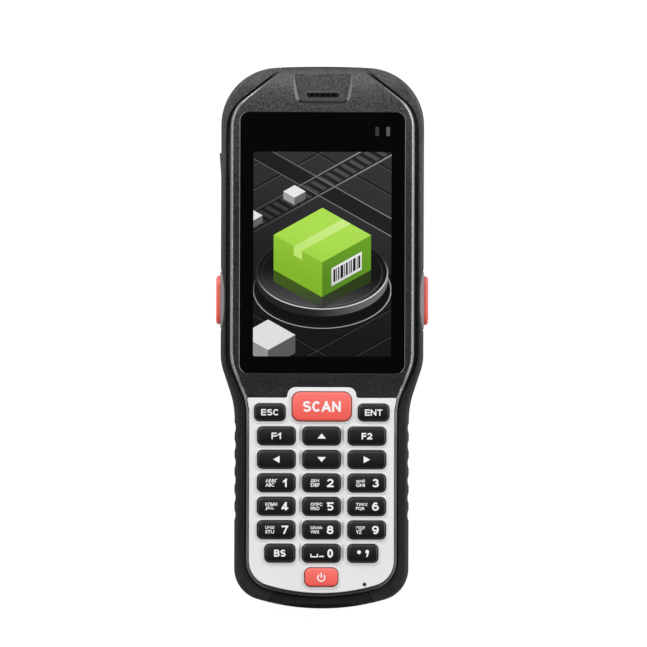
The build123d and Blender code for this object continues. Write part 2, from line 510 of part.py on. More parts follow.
def ear_recess():
    """Draft-sided trapezium round the earpiece slot. Its floor falls with the nose and fades out into it."""
    deep = EAR_RECESS_DEPTH + EAR_RECESS_FALL
    near_y = EAR_Y - EAR_RECESS_TO_SLOT
    far_y = near_y + EAR_RECESS_LENGTH
    inset = EAR_RECESS_FALL * math.tan(math.radians(EAR_RECESS_DRAFT))
    plan = symmetric_face(
        [
            (EAR_RECESS_FAR / 2 - inset, far_y, EAR_RECESS_TIP),
            (EAR_RECESS_NEAR / 2 - inset, near_y + inset, EAR_RECESS_CORNER),
        ]
    )
    hollow = extrude(Pos(0, 0, RIM_Z - deep) * plan, deep + NIP, taper=-EAR_RECESS_DRAFT)
    floor = side_prism(
        [
            (near_y - OVERCUT, RIM_Z - EAR_RECESS_DEPTH, 0),
            (near_y, RIM_Z - EAR_RECESS_DEPTH, 0),
            (far_y, RIM_Z - deep, 0),
            (far_y + OVERCUT, RIM_Z - deep, 0),
            (far_y + OVERCUT, 0, 0),
            (near_y - OVERCUT, 0, 0),
        ]
    )
    return hollow - floor


def ear_slot(grow, low, high):
    slot = SlotOverall(EAR_SLOT_WIDTH + 2 * grow, EAR_SLOT_LENGTH + 2 * grow)
    return prism(Pos(0, EAR_Y) * slot, low, high)


def trigger_passages():
    """Holes for both trigger stems."""
    holes = None
    for side in SIDES:
        x = (HEAD_INNER_HALF - 2 * WALL, HEAD_INNER_HALF + NIP)
        x = tuple(sorted(side * value for value in x))
        y = (TRIGGER_Y - STEM_LENGTH / 2 - KEY_GAP, TRIGGER_Y + STEM_LENGTH / 2 + KEY_GAP)
        z = (TRIGGER_Z - STEM_HEIGHT / 2 - KEY_GAP, TRIGGER_Z + STEM_HEIGHT / 2 + KEY_GAP)
        hole = block(x, y, z)
        holes = hole if holes is None else holes + hole
    return holes


def gasket_ring(width, low, high):
    outer = cavity_face((WALL - width) / 2)
    inner = cavity_face((WALL + width) / 2)
    return prism(outer, low, high) - prism(inner, low, high)


def front_housing():
    groove_z = BUMPER_Z - RIM_ROOT
    raised = prism(inner_face(HEAD_RIM_HALF, GRIP_RIM_HALF - FIT, FIT, MOVE_GAP), groove_z, RIM_Z)
    raised = raised & front_profile() & prism(outline_face(), 0, RIM_Z)
    rim = [edge for edge in rim_edges(raised, 1) if abs((edge @ 0.5).X) > WING_TIP]
    shell = (prism(housing_face(), REAR_DEPTH, groove_z) & front_profile()) + fillet(rim, RIM_ROUND)
    shell -= prism(cavity_face(), REAR_DEPTH, RIM_Z) & front_profile(PANEL_DEPTH)
    for x, y in screw_places():
        boss = post(x, y, REAR_DEPTH, RIM_Z - PANEL_DEPTH, BOSS_RADIUS)
        shell += boss & prism(housing_face(), REAR_DEPTH, RIM_Z)
    shell -= prism(glass_face(FIT * 2), LEDGE_Z, RIM_Z + NIP)
    shell -= extrude(Pos(0, 0, RIM_Z - GLASS_RECESS_EDGE) * glass_face(FIT * 2), NIP, taper=-45)
    (x0, x1), (y0, y1) = panel_limits(KEY_GAP)
    shell -= block((x0, x1), (y0, y1), (REAR_DEPTH, RIM_Z))
    shell -= prism(light_faces(), REAR_DEPTH, RIM_Z)
    shell -= prism(plate_face(PLATE_GAP), PLATE_LOW_Z, RIM_Z)
    shell -= prism(plate_face(-PLATE_LEDGE), REAR_DEPTH, RIM_Z)
    shell -= ear_recess()
    shell -= ear_slot(0, REAR_DEPTH, RIM_Z)
    shell -= ear_slot(EAR_SEAT, REAR_DEPTH, RIM_Z - EAR_RECESS_DEPTH - EAR_ROOF)
    for x, y in screw_places():
        shell -= post(x, y, 0, SCREW_SEAT + SCREW_LENGTH + SCREW_TIP_GAP, SCREW_SHANK + FIT)
    x, y = microphone_place()
    shell -= post(x, y, REAR_DEPTH, PLATE_LOW_Z, MICROPHONE_RADIUS + KEY_GAP)
    shell -= gasket_ring(GASKET_WIDTH + 2 * FIT, REAR_DEPTH, REAR_DEPTH + GASKET_HEIGHT / 2 + FIT)
    return shell - trigger_passages()


def housing_gasket():
    half = GASKET_HEIGHT / 2
    return gasket_ring(GASKET_WIDTH, REAR_DEPTH - half, REAR_DEPTH + half) - trigger_passages()


def door_limits(grow=0.0):
    half = BATTERY_WIDTH / 2 + DOOR_MARGIN + grow
    return (-half, half), (BATTERY_FOOT_Y - DOOR_MARGIN - grow, BATTERY_TOP_Y + DOOR_MARGIN + grow)


def hinge_line():
    """Y and Z of the battery door's pin."""
    (_, _), (y0, _) = door_limits()
    return y0 + DOOR_THICKNESS / 2, DOOR_Z + DOOR_THICKNESS / 2


def battery_bay():
    """Outer solid and hollow of the battery's box inside the rear housing."""
    half = BATTERY_WIDTH / 2 + BAY_GAP
    y = (BATTERY_FOOT_Y - BAY_GAP, BATTERY_TOP_Y + BAY_GAP + CONTACT_BLOCK_DEPTH)
    hollow = block((-half, half), y, (0, BATTERY_TOP_Z + BAY_GAP))
    outer_y = (y[0] - BAY_WALL, y[1] + BAY_WALL)
    outer_x = (-half - BAY_WALL, half + BAY_WALL)
    return block(outer_x, outer_y, (DOOR_Z, BATTERY_TOP_Z + BAY_GAP + BAY_WALL)), hollow


def sound_slots():
    slots = None
    for index in range(SOUND_SLOTS):
        y = TOP_Y - SPEAKER_TO_TOP + (index - (SOUND_SLOTS - 1) / 2) * SOUND_SLOT_PITCH
        slot = prism(Pos(0, y) * SlotOverall(SPEAKER_WIDTH, SOUND_SLOT_WIDTH), -NIP, FLOOR + NIP)
        slots = slot if slots is None else slots + slot
    return slots


def strap_hole_places():
    return [(side * STRAP_HOLE_SPACING / 2, TOP_Y - STRAP_TO_TOP) for side in SIDES]


def rear_housing():
    base = prism(offset(outline_face(), -REAR_INSET), 0, BUMPER_LOW) & back_profile()
    base = fillet(rim_edges(base, -1), REAR_ROUND)
    shell = base + prism(housing_face(), BUMPER_LOW, REAR_DEPTH)
    shell -= prism(cavity_face(), 0, REAR_DEPTH) & back_profile(FLOOR)
    bay, bay_hollow = battery_bay()
    shell += bay
    for x, y in screw_places():
        boss = post(x, y, BOSS_FOOT, REAR_DEPTH, BOSS_RADIUS) & prism(housing_face(), 0, REAR_DEPTH)
        shell += boss & back_profile()
    for x, y in strap_hole_places():
        shell += post(x, y, NIP, STRAP_HOLE_DEPTH + STRAP_ROOF, STRAP_HOLE_RADIUS + STRAP_WALL)
    shell -= bay_hollow
    (x0, x1), (y0, y1) = door_limits(MOVE_GAP)
    shell -= block((x0, x1), (y0, y1), (0, DOOR_Z + DOOR_THICKNESS + FIT))
    pin_y, pin_z = hinge_line()
    shell -= Pos(0, pin_y, pin_z) * Rot(0, 90, 0) * Cylinder(DOOR_PIN + FIT, x1 - x0 + 2 * PIN_ENGAGEMENT)
    tongue_half = TONGUE_WIDTH / 2 + MOVE_GAP
    tongue_y = (y1 - NIP, y1 + TONGUE_REACH + MOVE_GAP)
    tongue_z = DOOR_Z + DOOR_THICKNESS + TONGUE_THICKNESS + MOVE_GAP
    shell -= block((-tongue_half, tongue_half), tongue_y, (0, tongue_z))
    for x, y in screw_places():
        shell -= post(x, y, -NIP, REAR_DEPTH + NIP, SCREW_SHANK + FIT)
        shell -= post(x, y, -NIP, SCREW_SEAT + SCREW_HEAD_HEIGHT, SCREW_HEAD + FIT)
    for x, y in strap_hole_places():
        shell -= post(x, y, -NIP, STRAP_HOLE_DEPTH, STRAP_HOLE_RADIUS)
    camera_y = TOP_Y - CAMERA_TO_TOP
    shell -= post(0, camera_y, -NIP, CAMERA_RECESS + CAMERA_WINDOW_THICKNESS, CAMERA_WINDOW_RADIUS + FIT)
    shell -= post(0, camera_y, -NIP, FLOOR + NIP, CAMERA_WINDOW_RADIUS - CAMERA_LEDGE)
    shell -= sound_slots()
    shell -= scan_opening(FIT, SCAN_WINDOW_INSET + SCAN_WINDOW_THICKNESS)
    shell -= scan_opening(-SCAN_WINDOW_LEDGE, 3 * WALL)
    shell -= port_opening()
    shell -= dock_pins(FIT)
    shell -= gasket_ring(GASKET_WIDTH + 2 * FIT, REAR_DEPTH - GASKET_HEIGHT / 2 - FIT, REAR_DEPTH)
    return shell - trigger_passages()


def scan_opening(grow, depth):
    """Rounded block let into the scanner end from outside."""
    half = SCAN_WINDOW_WIDTH / 2 + grow
    z = (SCAN_Z - SCAN_WINDOW_HEIGHT / 2 - grow, SCAN_Z + SCAN_WINDOW_HEIGHT / 2 + grow)
    opening = block((-half, half), (TOP_Y - depth, TOP_Y + NIP), z)
    return fillet(opening.edges().filter_by(Axis.Y), SCAN_WINDOW_CORNER + grow)


def scan_window():
    half = SCAN_WINDOW_WIDTH / 2
    z = (SCAN_Z - SCAN_WINDOW_HEIGHT / 2, SCAN_Z + SCAN_WINDOW_HEIGHT / 2)
    y_high = TOP_Y - SCAN_WINDOW_INSET
    window = block((-half, half), (y_high - SCAN_WINDOW_THICKNESS, y_high), z)
    return fillet(window.edges().filter_by(Axis.Y), SCAN_WINDOW_CORNER)


def engine_front_y():
    return TOP_Y - SCAN_WINDOW_INSET - SCAN_WINDOW_THICKNESS - ENGINE_SETBACK


def engine_back_y():
    return engine_front_y() - ENGINE_BARREL - ENGINE_LENGTH


def scan_engine():
    """Imager block with its lens barrel, aiming out through the window."""
    front = engine_front_y()
    half = ENGINE_WIDTH / 2
    z = (SCAN_Z - ENGINE_HEIGHT / 2, SCAN_Z + ENGINE_HEIGHT / 2)
    engine = block((-half, half), (engine_back_y(), front - ENGINE_BARREL), z)
    engine = fillet(engine.edges().filter_by(Axis.Y), ENGINE_CORNER)
    for x, radius in ((-half / 2, ENGINE_LENS), (half / 2, ENGINE_AIMER)):
        barrel = Cylinder(radius, 2 * ENGINE_BARREL)
        engine += Pos(x, front - ENGINE_BARREL, SCAN_Z) * Rot(90, 0, 0) * barrel
    return engine


def scan_bracket():
    """Folded cradle under and behind the engine, standing on the rear floor."""
    back = engine_back_y()
    low = SCAN_Z - ENGINE_HEIGHT / 2
    half = ENGINE_WIDTH / 2
    shelf_y = (back - BRACKET_THICKNESS, back + ENGINE_LENGTH - BRACKET_REACH)
    shelf = block((-half, half), shelf_y, (low - BRACKET_THICKNESS, low))
    wall = block((-half, half), (back - BRACKET_THICKNESS, back), (low, low + BRACKET_WALL))
    feet = None
    for side in SIDES:
        x = tuple(sorted((side * half, side * (half - BRACKET_FOOT_WIDTH))))
        foot = block(x, (back, back + BRACKET_FOOT_LENGTH), (FLOOR, low - BRACKET_THICKNESS))
        feet = foot if feet is None else feet + foot
    return shelf + wall + feet


def camera_window():
    y = TOP_Y - CAMERA_TO_TOP
    return post(0, y, CAMERA_RECESS, CAMERA_RECESS + CAMERA_WINDOW_THICKNESS, CAMERA_WINDOW_RADIUS)


def camera_module():
    y = TOP_Y - CAMERA_TO_TOP
    half = CAMERA_BODY / 2
    low = CAMERA_RECESS + CAMERA_WINDOW_THICKNESS + KEY_GAP
    body = block((-half, half), (y - half, y + half), (FLOOR, FLOOR + CAMERA_HEIGHT))
    return body + post(0, y, low, FLOOR, CAMERA_BARREL)


def loudspeaker():
    y = TOP_Y - SPEAKER_TO_TOP
    half_x, half_y = SPEAKER_LENGTH / 2, SPEAKER_WIDTH / 2
    body = block((-half_x, half_x), (y - half_y, y + half_y), (FLOOR, FLOOR + SPEAKER_HEIGHT))
    return fillet(body.edges().filter_by(Axis.Z), SPEAKER_CORNER)


def earpiece_grille():
    """Thin perforated strip behind the earpiece slot."""
    top = RIM_Z - EAR_RECESS_DEPTH - EAR_ROOF
    grille = ear_slot(EAR_SEAT - FIT, top - EAR_GRILLE_THICKNESS, top)
    pitch = (EAR_SLOT_WIDTH - 2) / EAR_GRILLE_HOLES
    for index in range(EAR_GRILLE_HOLES):
        x = (index - (EAR_GRILLE_HOLES - 1) / 2) * pitch
        length = EAR_SLOT_LENGTH * EAR_GRILLE_SHARE
        hole = RectangleRounded(pitch * EAR_GRILLE_SHARE, length, length / 3)
        grille -= prism(Pos(x, EAR_Y) * hole, top - NIP, top + NIP)
    return grille


def earpiece_speaker():
    high = RIM_Z - PANEL_DEPTH - EARPIECE_SEAT
    half_x, half_y = EARPIECE_WIDTH / 2, EARPIECE_LENGTH / 2
    body = block((-half_x, half_x), (EAR_Y - half_y, EAR_Y + half_y), (high - EARPIECE_HEIGHT, high))
    return fillet(body.edges().filter_by(Axis.Z), EARPIECE_CORNER)


def trigger_solid(side):
    """Side trigger: rounded cap, flange behind the bezel and stem to its switch."""
    flange_x = HEAD_INNER_HALF + TRIGGER_TRAVEL + MOVE_GAP
    cap_x = flange_x + TRIGGER_FLANGE
    reach = TRIGGER_HALF - cap_x + ROOT
    cap = side_slot(cap_x - ROOT, TRIGGER_LENGTH, TRIGGER_HEIGHT, TRIGGER_Y, TRIGGER_Z, reach)
    cap = fillet(cap.faces().sort_by(Axis.X)[-1].edges(), TRIGGER_EDGE_ROUND)
    length, height = (size + 2 * TRIGGER_FLANGE_WIDTH for size in (TRIGGER_LENGTH, TRIGGER_HEIGHT))
    cap += side_slot(flange_x, length, height, TRIGGER_Y, TRIGGER_Z, TRIGGER_FLANGE)
    stem_x = (HEAD_INNER_HALF - WALL - STEM_REACH, flange_x + ROOT)
    y = (TRIGGER_Y - STEM_LENGTH / 2, TRIGGER_Y + STEM_LENGTH / 2)
    cap += block(stem_x, y, (TRIGGER_Z - STEM_HEIGHT / 2, TRIGGER_Z + STEM_HEIGHT / 2))
    return cap if side > 0 else mirror(cap, about=Plane.YZ)


def bezel_solid(side, grow=0.0):
    """Silver surround of one trigger, let into the bumper. grow makes its pocket."""
    length = TRIGGER_LENGTH + 2 * (BEZEL_MARGIN + grow)
    height = TRIGGER_HEIGHT + 2 * (BEZEL_MARGIN + grow)
    outer = HEAD_HALF + BEZEL_PROUD
    inner = HEAD_INNER_HALF + FIT
    bezel = side_slot(inner - grow, length, height, TRIGGER_Y, TRIGGER_Z, outer - inner + 2 * grow)
    if not grow:
        bezel = chamfer(bezel.faces().sort_by(Axis.X)[-1].edges(), BEZEL_CHAMFER)
        flange_depth = TRIGGER_TRAVEL + MOVE_GAP + TRIGGER_FLANGE + FIT
        through = outer - inner + NIP
        for spread, depth in ((KEY_GAP, through), (KEY_GAP + TRIGGER_FLANGE_WIDTH, flange_depth)):
            length, height = TRIGGER_LENGTH + 2 * spread, TRIGGER_HEIGHT + 2 * spread
            bezel -= side_slot(inner - NIP, length, height, TRIGGER_Y, TRIGGER_Z, depth + NIP)
    return bezel if side > 0 else mirror(bezel, about=Plane.YZ)


def trigger_scoop(side):
    """Finger scoop cut down through the bumper's edge beside one trigger, lens-shaped in plan."""
    depth = HEAD_BUMPER - SCOOP_WALL
    half = TRIGGER_LENGTH / 2 + BEZEL_MARGIN
    arc = ThreePointArc(
        (side * HEAD_HALF, TRIGGER_Y - half),
        (side * (HEAD_HALF - depth), TRIGGER_Y),
        (side * HEAD_HALF, TRIGGER_Y + half),
    )
    far = side * (HEAD_HALF + OVERCUT)
    back = Polyline((side * HEAD_HALF, TRIGGER_Y + half), (far, TRIGGER_Y + half), (far, TRIGGER_Y - half),
                    (side * HEAD_HALF, TRIGGER_Y - half))
    return prism(make_face(arc.edges() + back.edges()), TRIGGER_Z, RIM_Z + NIP)


def trigger_switches():
    """Two right-angle switches under the main board's edges."""
    switches = Part()
    for side in SIDES:
        outer = HEAD_INNER_HALF - WALL - STEM_REACH - TRIGGER_TRAVEL - FIT
        x = tuple(sorted((side * outer, side * (outer - SWITCH_WIDTH))))
        y = (TRIGGER_Y - SWITCH_LENGTH / 2, TRIGGER_Y + SWITCH_LENGTH / 2)
        switches += block(x, y, (TRIGGER_Z - STEM_HEIGHT / 2, BOARD_LOW_Z))
    return switches


def flap_z():
    middle = PORT_Z + FLAP_ABOVE_PORT
    return middle - FLAP_HEIGHT / 2, middle + FLAP_HEIGHT / 2


def flap_axis():
    """X and Y of the flap's pin."""
    return -(HEAD_HALF - FLAP_THICKNESS / 2), FLAP_FOOT_Y + FLAP_THICKNESS / 2


def port_flap():
    """Rubber flap over the side port, rounded about its pin, with a finger lip at its free end."""
    low, high = flap_z()
    x, y = flap_axis()
    radius = FLAP_THICKNESS / 2
    end_y = FLAP_FOOT_Y + FLAP_LENGTH
    flap = block((x - radius, x + radius), (y, end_y), (low, high)) + post(x, y, low, high, radius)
    lip = make_face(
        Polyline(
            (x - radius + ROOT, end_y - LIP_LENGTH),
            (x - radius, end_y - LIP_LENGTH),
            (x - radius - LIP_PROUD, end_y),
            (x - radius + ROOT, end_y),
            close=True,
        ).edges()
    )
    flap += prism(lip, low, high)
    return flap - post(x, y, low - NIP, high + NIP, FLAP_PIN + FIT)


def flap_pin():
    low, high = flap_z()
    x, y = flap_axis()
    return post(x, y, low - PIN_ENGAGEMENT, high + PIN_ENGAGEMENT, FLAP_PIN)


def port_y():
    return FLAP_FOOT_Y + FLAP_LENGTH / 2


def port_shape(grow, x_low, x_high):
    """Rounded block round the side port, along X."""
    y, half_y, half_z = port_y(), PORT_WIDTH / 2 + grow, PORT_HEIGHT / 2 + grow
    shape = block((x_low, x_high), (y - half_y, y + half_y), (PORT_Z - half_z, PORT_Z + half_z))
    return fillet(shape.edges().filter_by(Axis.X), half_z - FIT)


def port_opening():
    return port_shape(FIT, -HEAD_INNER_HALF - NIP, -HEAD_INNER_HALF + WALL + NIP)


def port_socket():
    """Metal port shell with its tongue."""
    outer = -HEAD_INNER_HALF + FIT
    shell = port_shape(0, outer, outer + PORT_DEPTH)
    shell -= port_shape(-PORT_WALL, outer - NIP, outer + PORT_DEPTH - 2 * PORT_BACK)
    half, thick = PORT_WIDTH / 2 - PORT_TONGUE_GAP, PORT_TONGUE_THICKNESS / 2
    x = (outer + PORT_TONGUE_SETBACK, outer + PORT_DEPTH - PORT_BACK)
    return shell + block(x, (port_y() - half, port_y() + half), (PORT_Z - thick, PORT_Z + thick))


def side_bumper():
    """Soft band round the body, proud wings at the scanner end and scallops along the grip."""
    ring = prism(outline_face(), BUMPER_LOW + FIT, RIM_Z) & bumper_profile()
    ring = fillet(rim_edges(ring, 1), BUMPER_ROUND)
    ring -= prism(inner_face(HEAD_INNER_HALF + FIT, GRIP_RIM_HALF + FIT, -FIT, -FIT), 0, RIM_Z + NIP)
    ring = chamfer(inward_edges(ring), BUMPER_INNER_EDGE)
    for side in SIDES:
        for index in range(SCALLOP_COUNT):
            y = PLATE_TOP_Y - SCALLOP_BELOW_PLATE - index * SCALLOP_PITCH
            x = side * (GRIP_HALF + SCALLOP_ROUND - SCALLOP_DEPTH)
            ring -= post(x, y, 0, RIM_Z, SCALLOP_ROUND)
        ring -= bezel_solid(side, FIT)
        ring -= trigger_scoop(side)
    low, high = flap_z()
    x, y = flap_axis()
    radius = FLAP_THICKNESS / 2 + MOVE_GAP
    pocket_x = (-HEAD_HALF - NIP, -HEAD_INNER_HALF)
    pocket_z = (low - MOVE_GAP, high + MOVE_GAP)
    ring -= block(pocket_x, (y, FLAP_FOOT_Y + FLAP_LENGTH + MOVE_GAP), pocket_z)
    ring -= post(x, y, *pocket_z, radius)
    ring -= block((-HEAD_HALF - NIP, x), (y - radius, y), pocket_z)
    ring -= post(x, y, low - PIN_ENGAGEMENT, high + PIN_ENGAGEMENT, FLAP_PIN + FIT)
    dock = (FOOT_Y - NIP, FOOT_Y + DOCK_RECESS)
    ring -= block((-DOCK_HALF_WIDTH, DOCK_HALF_WIDTH), dock, (PAD_Z - BUMPER_GRIP_STEP - DOCK_STEP, RIM_Z))
    pins_half = DOCK_PINS * DOCK_PIN_PITCH / 2 + DOCK_MARGIN
    window_half = DOCK_PIN_HEIGHT / 2 + DOCK_MARGIN
    window_y = (FOOT_Y - NIP, FOOT_Y + END_BUMPER + WALL)
    ring -= block((-pins_half, pins_half), window_y, (DOCK_Z - window_half, DOCK_Z + window_half))
    return ring


def dock_pins(grow=0.0):
    pins = Part()
    wall_y = FOOT_Y + END_BUMPER
    y = (wall_y - DOCK_PIN_PROUD - grow, wall_y + WALL + DOCK_PIN_TAIL + grow)
    for index in range(DOCK_PINS):
        x = (index - (DOCK_PINS - 1) / 2) * DOCK_PIN_PITCH
        half = DOCK_PIN_WIDTH / 2 + grow
        z = (DOCK_Z - DOCK_PIN_HEIGHT / 2 - grow, DOCK_Z + DOCK_PIN_HEIGHT / 2 + grow)
        pins += block((x - half, x + half), y, z)
    return pins


def battery_pack():
    half = BATTERY_WIDTH / 2
    pack = block((-half, half), (BATTERY_FOOT_Y, BATTERY_TOP_Y), (BATTERY_LOW_Z, BATTERY_TOP_Z))
    return fillet(pack.edges().filter_by(Axis.Y), BATTERY_ROUND)


def battery_contacts():
    half = CONTACT_BLOCK_WIDTH / 2
    middle = (BATTERY_LOW_Z + BATTERY_TOP_Z) / 2
    z = (middle - CONTACT_BLOCK_HEIGHT / 2, middle + CONTACT_BLOCK_HEIGHT / 2)
    y = (BATTERY_TOP_Y + CONTACT_GAP, BATTERY_TOP_Y + BAY_GAP + CONTACT_BLOCK_DEPTH)
    return block((-half, half), y, z)


def battery_door():
    """Door with a full-width barrel on its pin and a pocket for the latch."""
    (x0, x1), (y0, y1) = door_limits()
    pin_y, pin_z = hinge_line()
    leaf = block((x0, x1), (pin_y, y1), (DOOR_Z, DOOR_Z + DOOR_THICKNESS))
    corners = leaf.edges().filter_by(Axis.Z).sort_by(Axis.Y)[-2:]
    leaf = fillet(corners, DOOR_CORNER - MOVE_GAP)
    door = leaf + Pos(0, pin_y, pin_z) * Rot(0, 90, 0) * Cylinder(DOOR_THICKNESS / 2, x1 - x0)
    door -= Pos(0, pin_y, pin_z) * Rot(0, 90, 0) * Cylinder(DOOR_PIN + FIT, x1 - x0 + 2 * NIP)
    pocket, slot = latch_space()
    return door - pocket - slot


def latch_limits():
    """Outer face of the latch in plan, closed."""
    (_, _), (_, y1) = door_limits()
    high = y1 - LATCH_TO_EDGE
    return (-LATCH_WIDTH / 2, LATCH_WIDTH / 2), (high - LATCH_LENGTH, high)


def latch_space():
    """Pocket for the latch's thumb piece, and the slot for its stem and tongue."""
    (x0, x1), (y0, y1) = latch_limits()
    gap = KEY_GAP
    pocket_z = (DOOR_Z - NIP, DOOR_Z + LATCH_SKIN + gap)
    pocket = block((x0 - gap, x1 + gap), (y0 - LATCH_TRAVEL - gap, y1 + gap), pocket_z)
    half = TONGUE_WIDTH / 2 + gap
    slot_y = (y0 + STEM_FOOT - LATCH_TRAVEL - gap, y1 - STEM_TOP + gap)
    slot = block((-half, half), slot_y, (DOOR_Z - NIP, DOOR_Z + DOOR_THICKNESS + NIP))
    return pocket, slot


def battery_latch():
    """Sliding latch: ribbed thumb piece outside, tongue inside that reaches past the door's edge."""
    (x0, x1), (y0, y1) = latch_limits()
    (_, _), (_, door_top) = door_limits()
    thumb = block((x0, x1), (y0, y1), (DOOR_Z, DOOR_Z + LATCH_SKIN))
    for index in range(LATCH_GRIPS):
        y = y0 + (index + 1) * LATCH_GRIP_PITCH
        x = (x0 + LATCH_GRIP_MARGIN, x1 - LATCH_GRIP_MARGIN)
        thumb -= block(x, (y, y + LATCH_GRIP_WIDTH), (DOOR_Z - NIP, DOOR_Z + LATCH_GRIP_DEPTH))
    inner = DOOR_Z + DOOR_THICKNESS + KEY_GAP / 2
    half = TONGUE_WIDTH / 2
    foot = y0 + STEM_FOOT
    stem = block((-half, half), (foot, y1 - STEM_TOP), (DOOR_Z + LATCH_SKIN, inner))
    tongue_z = (inner, inner + TONGUE_THICKNESS - KEY_GAP)
    tongue = block((-half, half), (foot, door_top + TONGUE_REACH), tongue_z)
    return thumb + stem + tongue


def door_hinge_pin():
    (x0, x1), _ = door_limits(MOVE_GAP)
    pin_y, pin_z = hinge_line()
    return Pos(0, pin_y, pin_z) * Rot(0, 90, 0) * Cylinder(DOOR_PIN, x1 - x0 + 2 * PIN_ENGAGEMENT - 2 * FIT)


def inner_frame():
    """Magnesium mid-frame: floor under display and keypad, ribs that carry the display."""
    floor = prism(cavity_face(WALL + FRAME_GAP), FRAME_LOW_Z, FRAME_TOP_Z)
    for x, y in screw_places():
        floor -= post(x, y, 0, RIM_Z, BOSS_RADIUS + FRAME_GAP)
    (x0, x1), (y0, y1) = panel_limits()
    rib = FRAME_RIB_WIDTH
    ring = block((x0, x1), (y0, y1), (FRAME_TOP_Z - ROOT, PANEL_LOW_Z))
    ring -= block((x0 + rib, x1 - rib), (y0 + rib, y1 - rib), (FRAME_TOP_Z - NIP, RIM_Z))
    frame = floor + ring
    for x, y in board_posts():
        frame += post(x, y, BOARD_TOP_Z, FRAME_LOW_Z + ROOT, POST_RADIUS)
    return frame


def board_posts():
    rows = (GLASS_FOOT_Y + POST_FROM_FOOT, GLASS_TOP_Y - POST_FROM_TOP)
    return [(side * POST_X, y) for side in SIDES for y in rows]


def main_board():
    y = (GLASS_FOOT_Y + BOARD_PAST_GLASS, TOP_Y - BOARD_TO_TOP)
    half = HEAD_INNER_HALF - WALL - BOARD_GAP
    board = block((-half, half), y, (BOARD_LOW_Z, BOARD_TOP_Z))
    for x, y in screw_places():
        board -= post(x, y, 0, RIM_Z, BOSS_RADIUS + BOSS_GAP)
    return board


def board_shields():
    cans = Part()
    foot = GLASS_FOOT_Y + BOARD_PAST_GLASS + SHIELD_LENGTH / 2
    for side in SIDES:
        inner = side * SHIELD_GAP / 2
        x = tuple(sorted((inner, inner + side * SHIELD_WIDTH)))
        for row in (1, 2):
            y = foot + row * (SHIELD_LENGTH + SHIELD_GAP)
            cans += block(x, (y, y + SHIELD_LENGTH), (BOARD_LOW_Z - SHIELD_HEIGHT, BOARD_LOW_Z))
    return cans


def keypad_inner_face(grow):
    return plate_face(-PLATE_LEDGE - grow)


def key_mat():
    mat = prism(keypad_inner_face(MAT_MARGIN), MAT_LOW_Z, MAT_TOP_Z)
    for key in key_places():
        mat += post(key[1], key[2], MAT_LOW_Z - MAT_NUB, MAT_LOW_Z, MAT_NUB_RADIUS)
    x, y = microphone_place()
    return mat - post(x, y, 0, RIM_Z, MICROPHONE_RADIUS + MOVE_GAP)


def dome_sheet():
    sheet = prism(keypad_inner_face(DOME_MARGIN), KEYBOARD_TOP_Z, KEYBOARD_TOP_Z + DOME_SHEET)
    dome = Cone(DOME_RADIUS, DOME_CROWN, DOME_HEIGHT)
    for key in key_places():
        sheet += Pos(key[1], key[2], KEYBOARD_TOP_Z + DOME_SHEET + DOME_HEIGHT / 2) * dome
    x, y = microphone_place()
    return sheet - post(x, y, 0, RIM_Z, MICROPHONE_RADIUS + MOVE_GAP)


def keypad_board():
    return prism(keypad_inner_face(MAT_MARGIN), KEYBOARD_LOW_Z, KEYBOARD_TOP_Z)


def microphone():
    x, y = microphone_place()
    return post(x, y, KEYBOARD_TOP_Z, KEYBOARD_TOP_Z + MICROPHONE_HEIGHT, MICROPHONE_RADIUS)


def housing_screws():
    screws = Part()
    for x, y in screw_places():
        low, high = SCREW_SEAT, SCREW_SEAT + SCREW_HEAD_HEIGHT
        head = post(x, y, low, high, SCREW_HEAD)
        head -= post(x, y, low - NIP, low + SCREW_SOCKET_DEPTH, SCREW_SOCKET)
        screws += head + post(x, y, high, low + SCREW_LENGTH, SCREW_SHANK)
    return screws


def both_sides(make):
    return Part() + make(-1) + make(1)


def main():
    os.makedirs("parts", exist_ok=True)
    pieces = {
        "front_housing": front_housing(),
        "rear_housing": rear_housing(),
        "side_bumper": side_bumper(),
        "housing_gasket": housing_gasket(),
        "cover_glass": cover_glass(),
        "display_mask": display_mask(),
        "indicator_lenses": indicator_lenses(),
        "lcd_module": lcd_module(),
        "inner_frame": inner_frame(),
        "keypad_plate": keypad_plate(),
        "key_mat": key_mat(),
        "dome_sheet": dome_sheet(),
        "keypad_board": keypad_board(),
        "main_board": main_board(),
        "board_shields": board_shields(),
        "scan_engine": scan_engine(),
        "scan_bracket": scan_bracket(),
        "scan_window": scan_window(),
        "earpiece_speaker": earpiece_speaker(),
        "earpiece_grille": earpiece_grille(),
        "loudspeaker": loudspeaker(),
        "camera_module": camera_module(),
        "camera_window": camera_window(),
        "left_trigger": trigger_solid(-1),
        "right_trigger": trigger_solid(1),
        "trigger_switches": trigger_switches(),
        "trigger_bezels": both_sides(bezel_solid),
        "port_flap": port_flap(),
        "flap_pin": flap_pin(),
        "port_socket": port_socket(),
        "battery_pack": battery_pack(),
        "battery_contacts": battery_contacts(),
        "battery_door": battery_door(),
        "door_hinge_pin": door_hinge_pin(),
        "battery_latch": battery_latch(),
        "microphone": microphone(),
        "housing_screws": housing_screws(),
        "dock_contacts": dock_pins(),
    }
    for key in key_places():
        pieces[key[0]] = key_cap(key)
    for name, piece in pieces.items():
        export_step(piece, f"parts/{name}.step")


main()
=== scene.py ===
import json
import logging
import math
from dataclasses import dataclass
from enum import Enum
from typing import Callable, Iterable, Optional, Sequence, Union

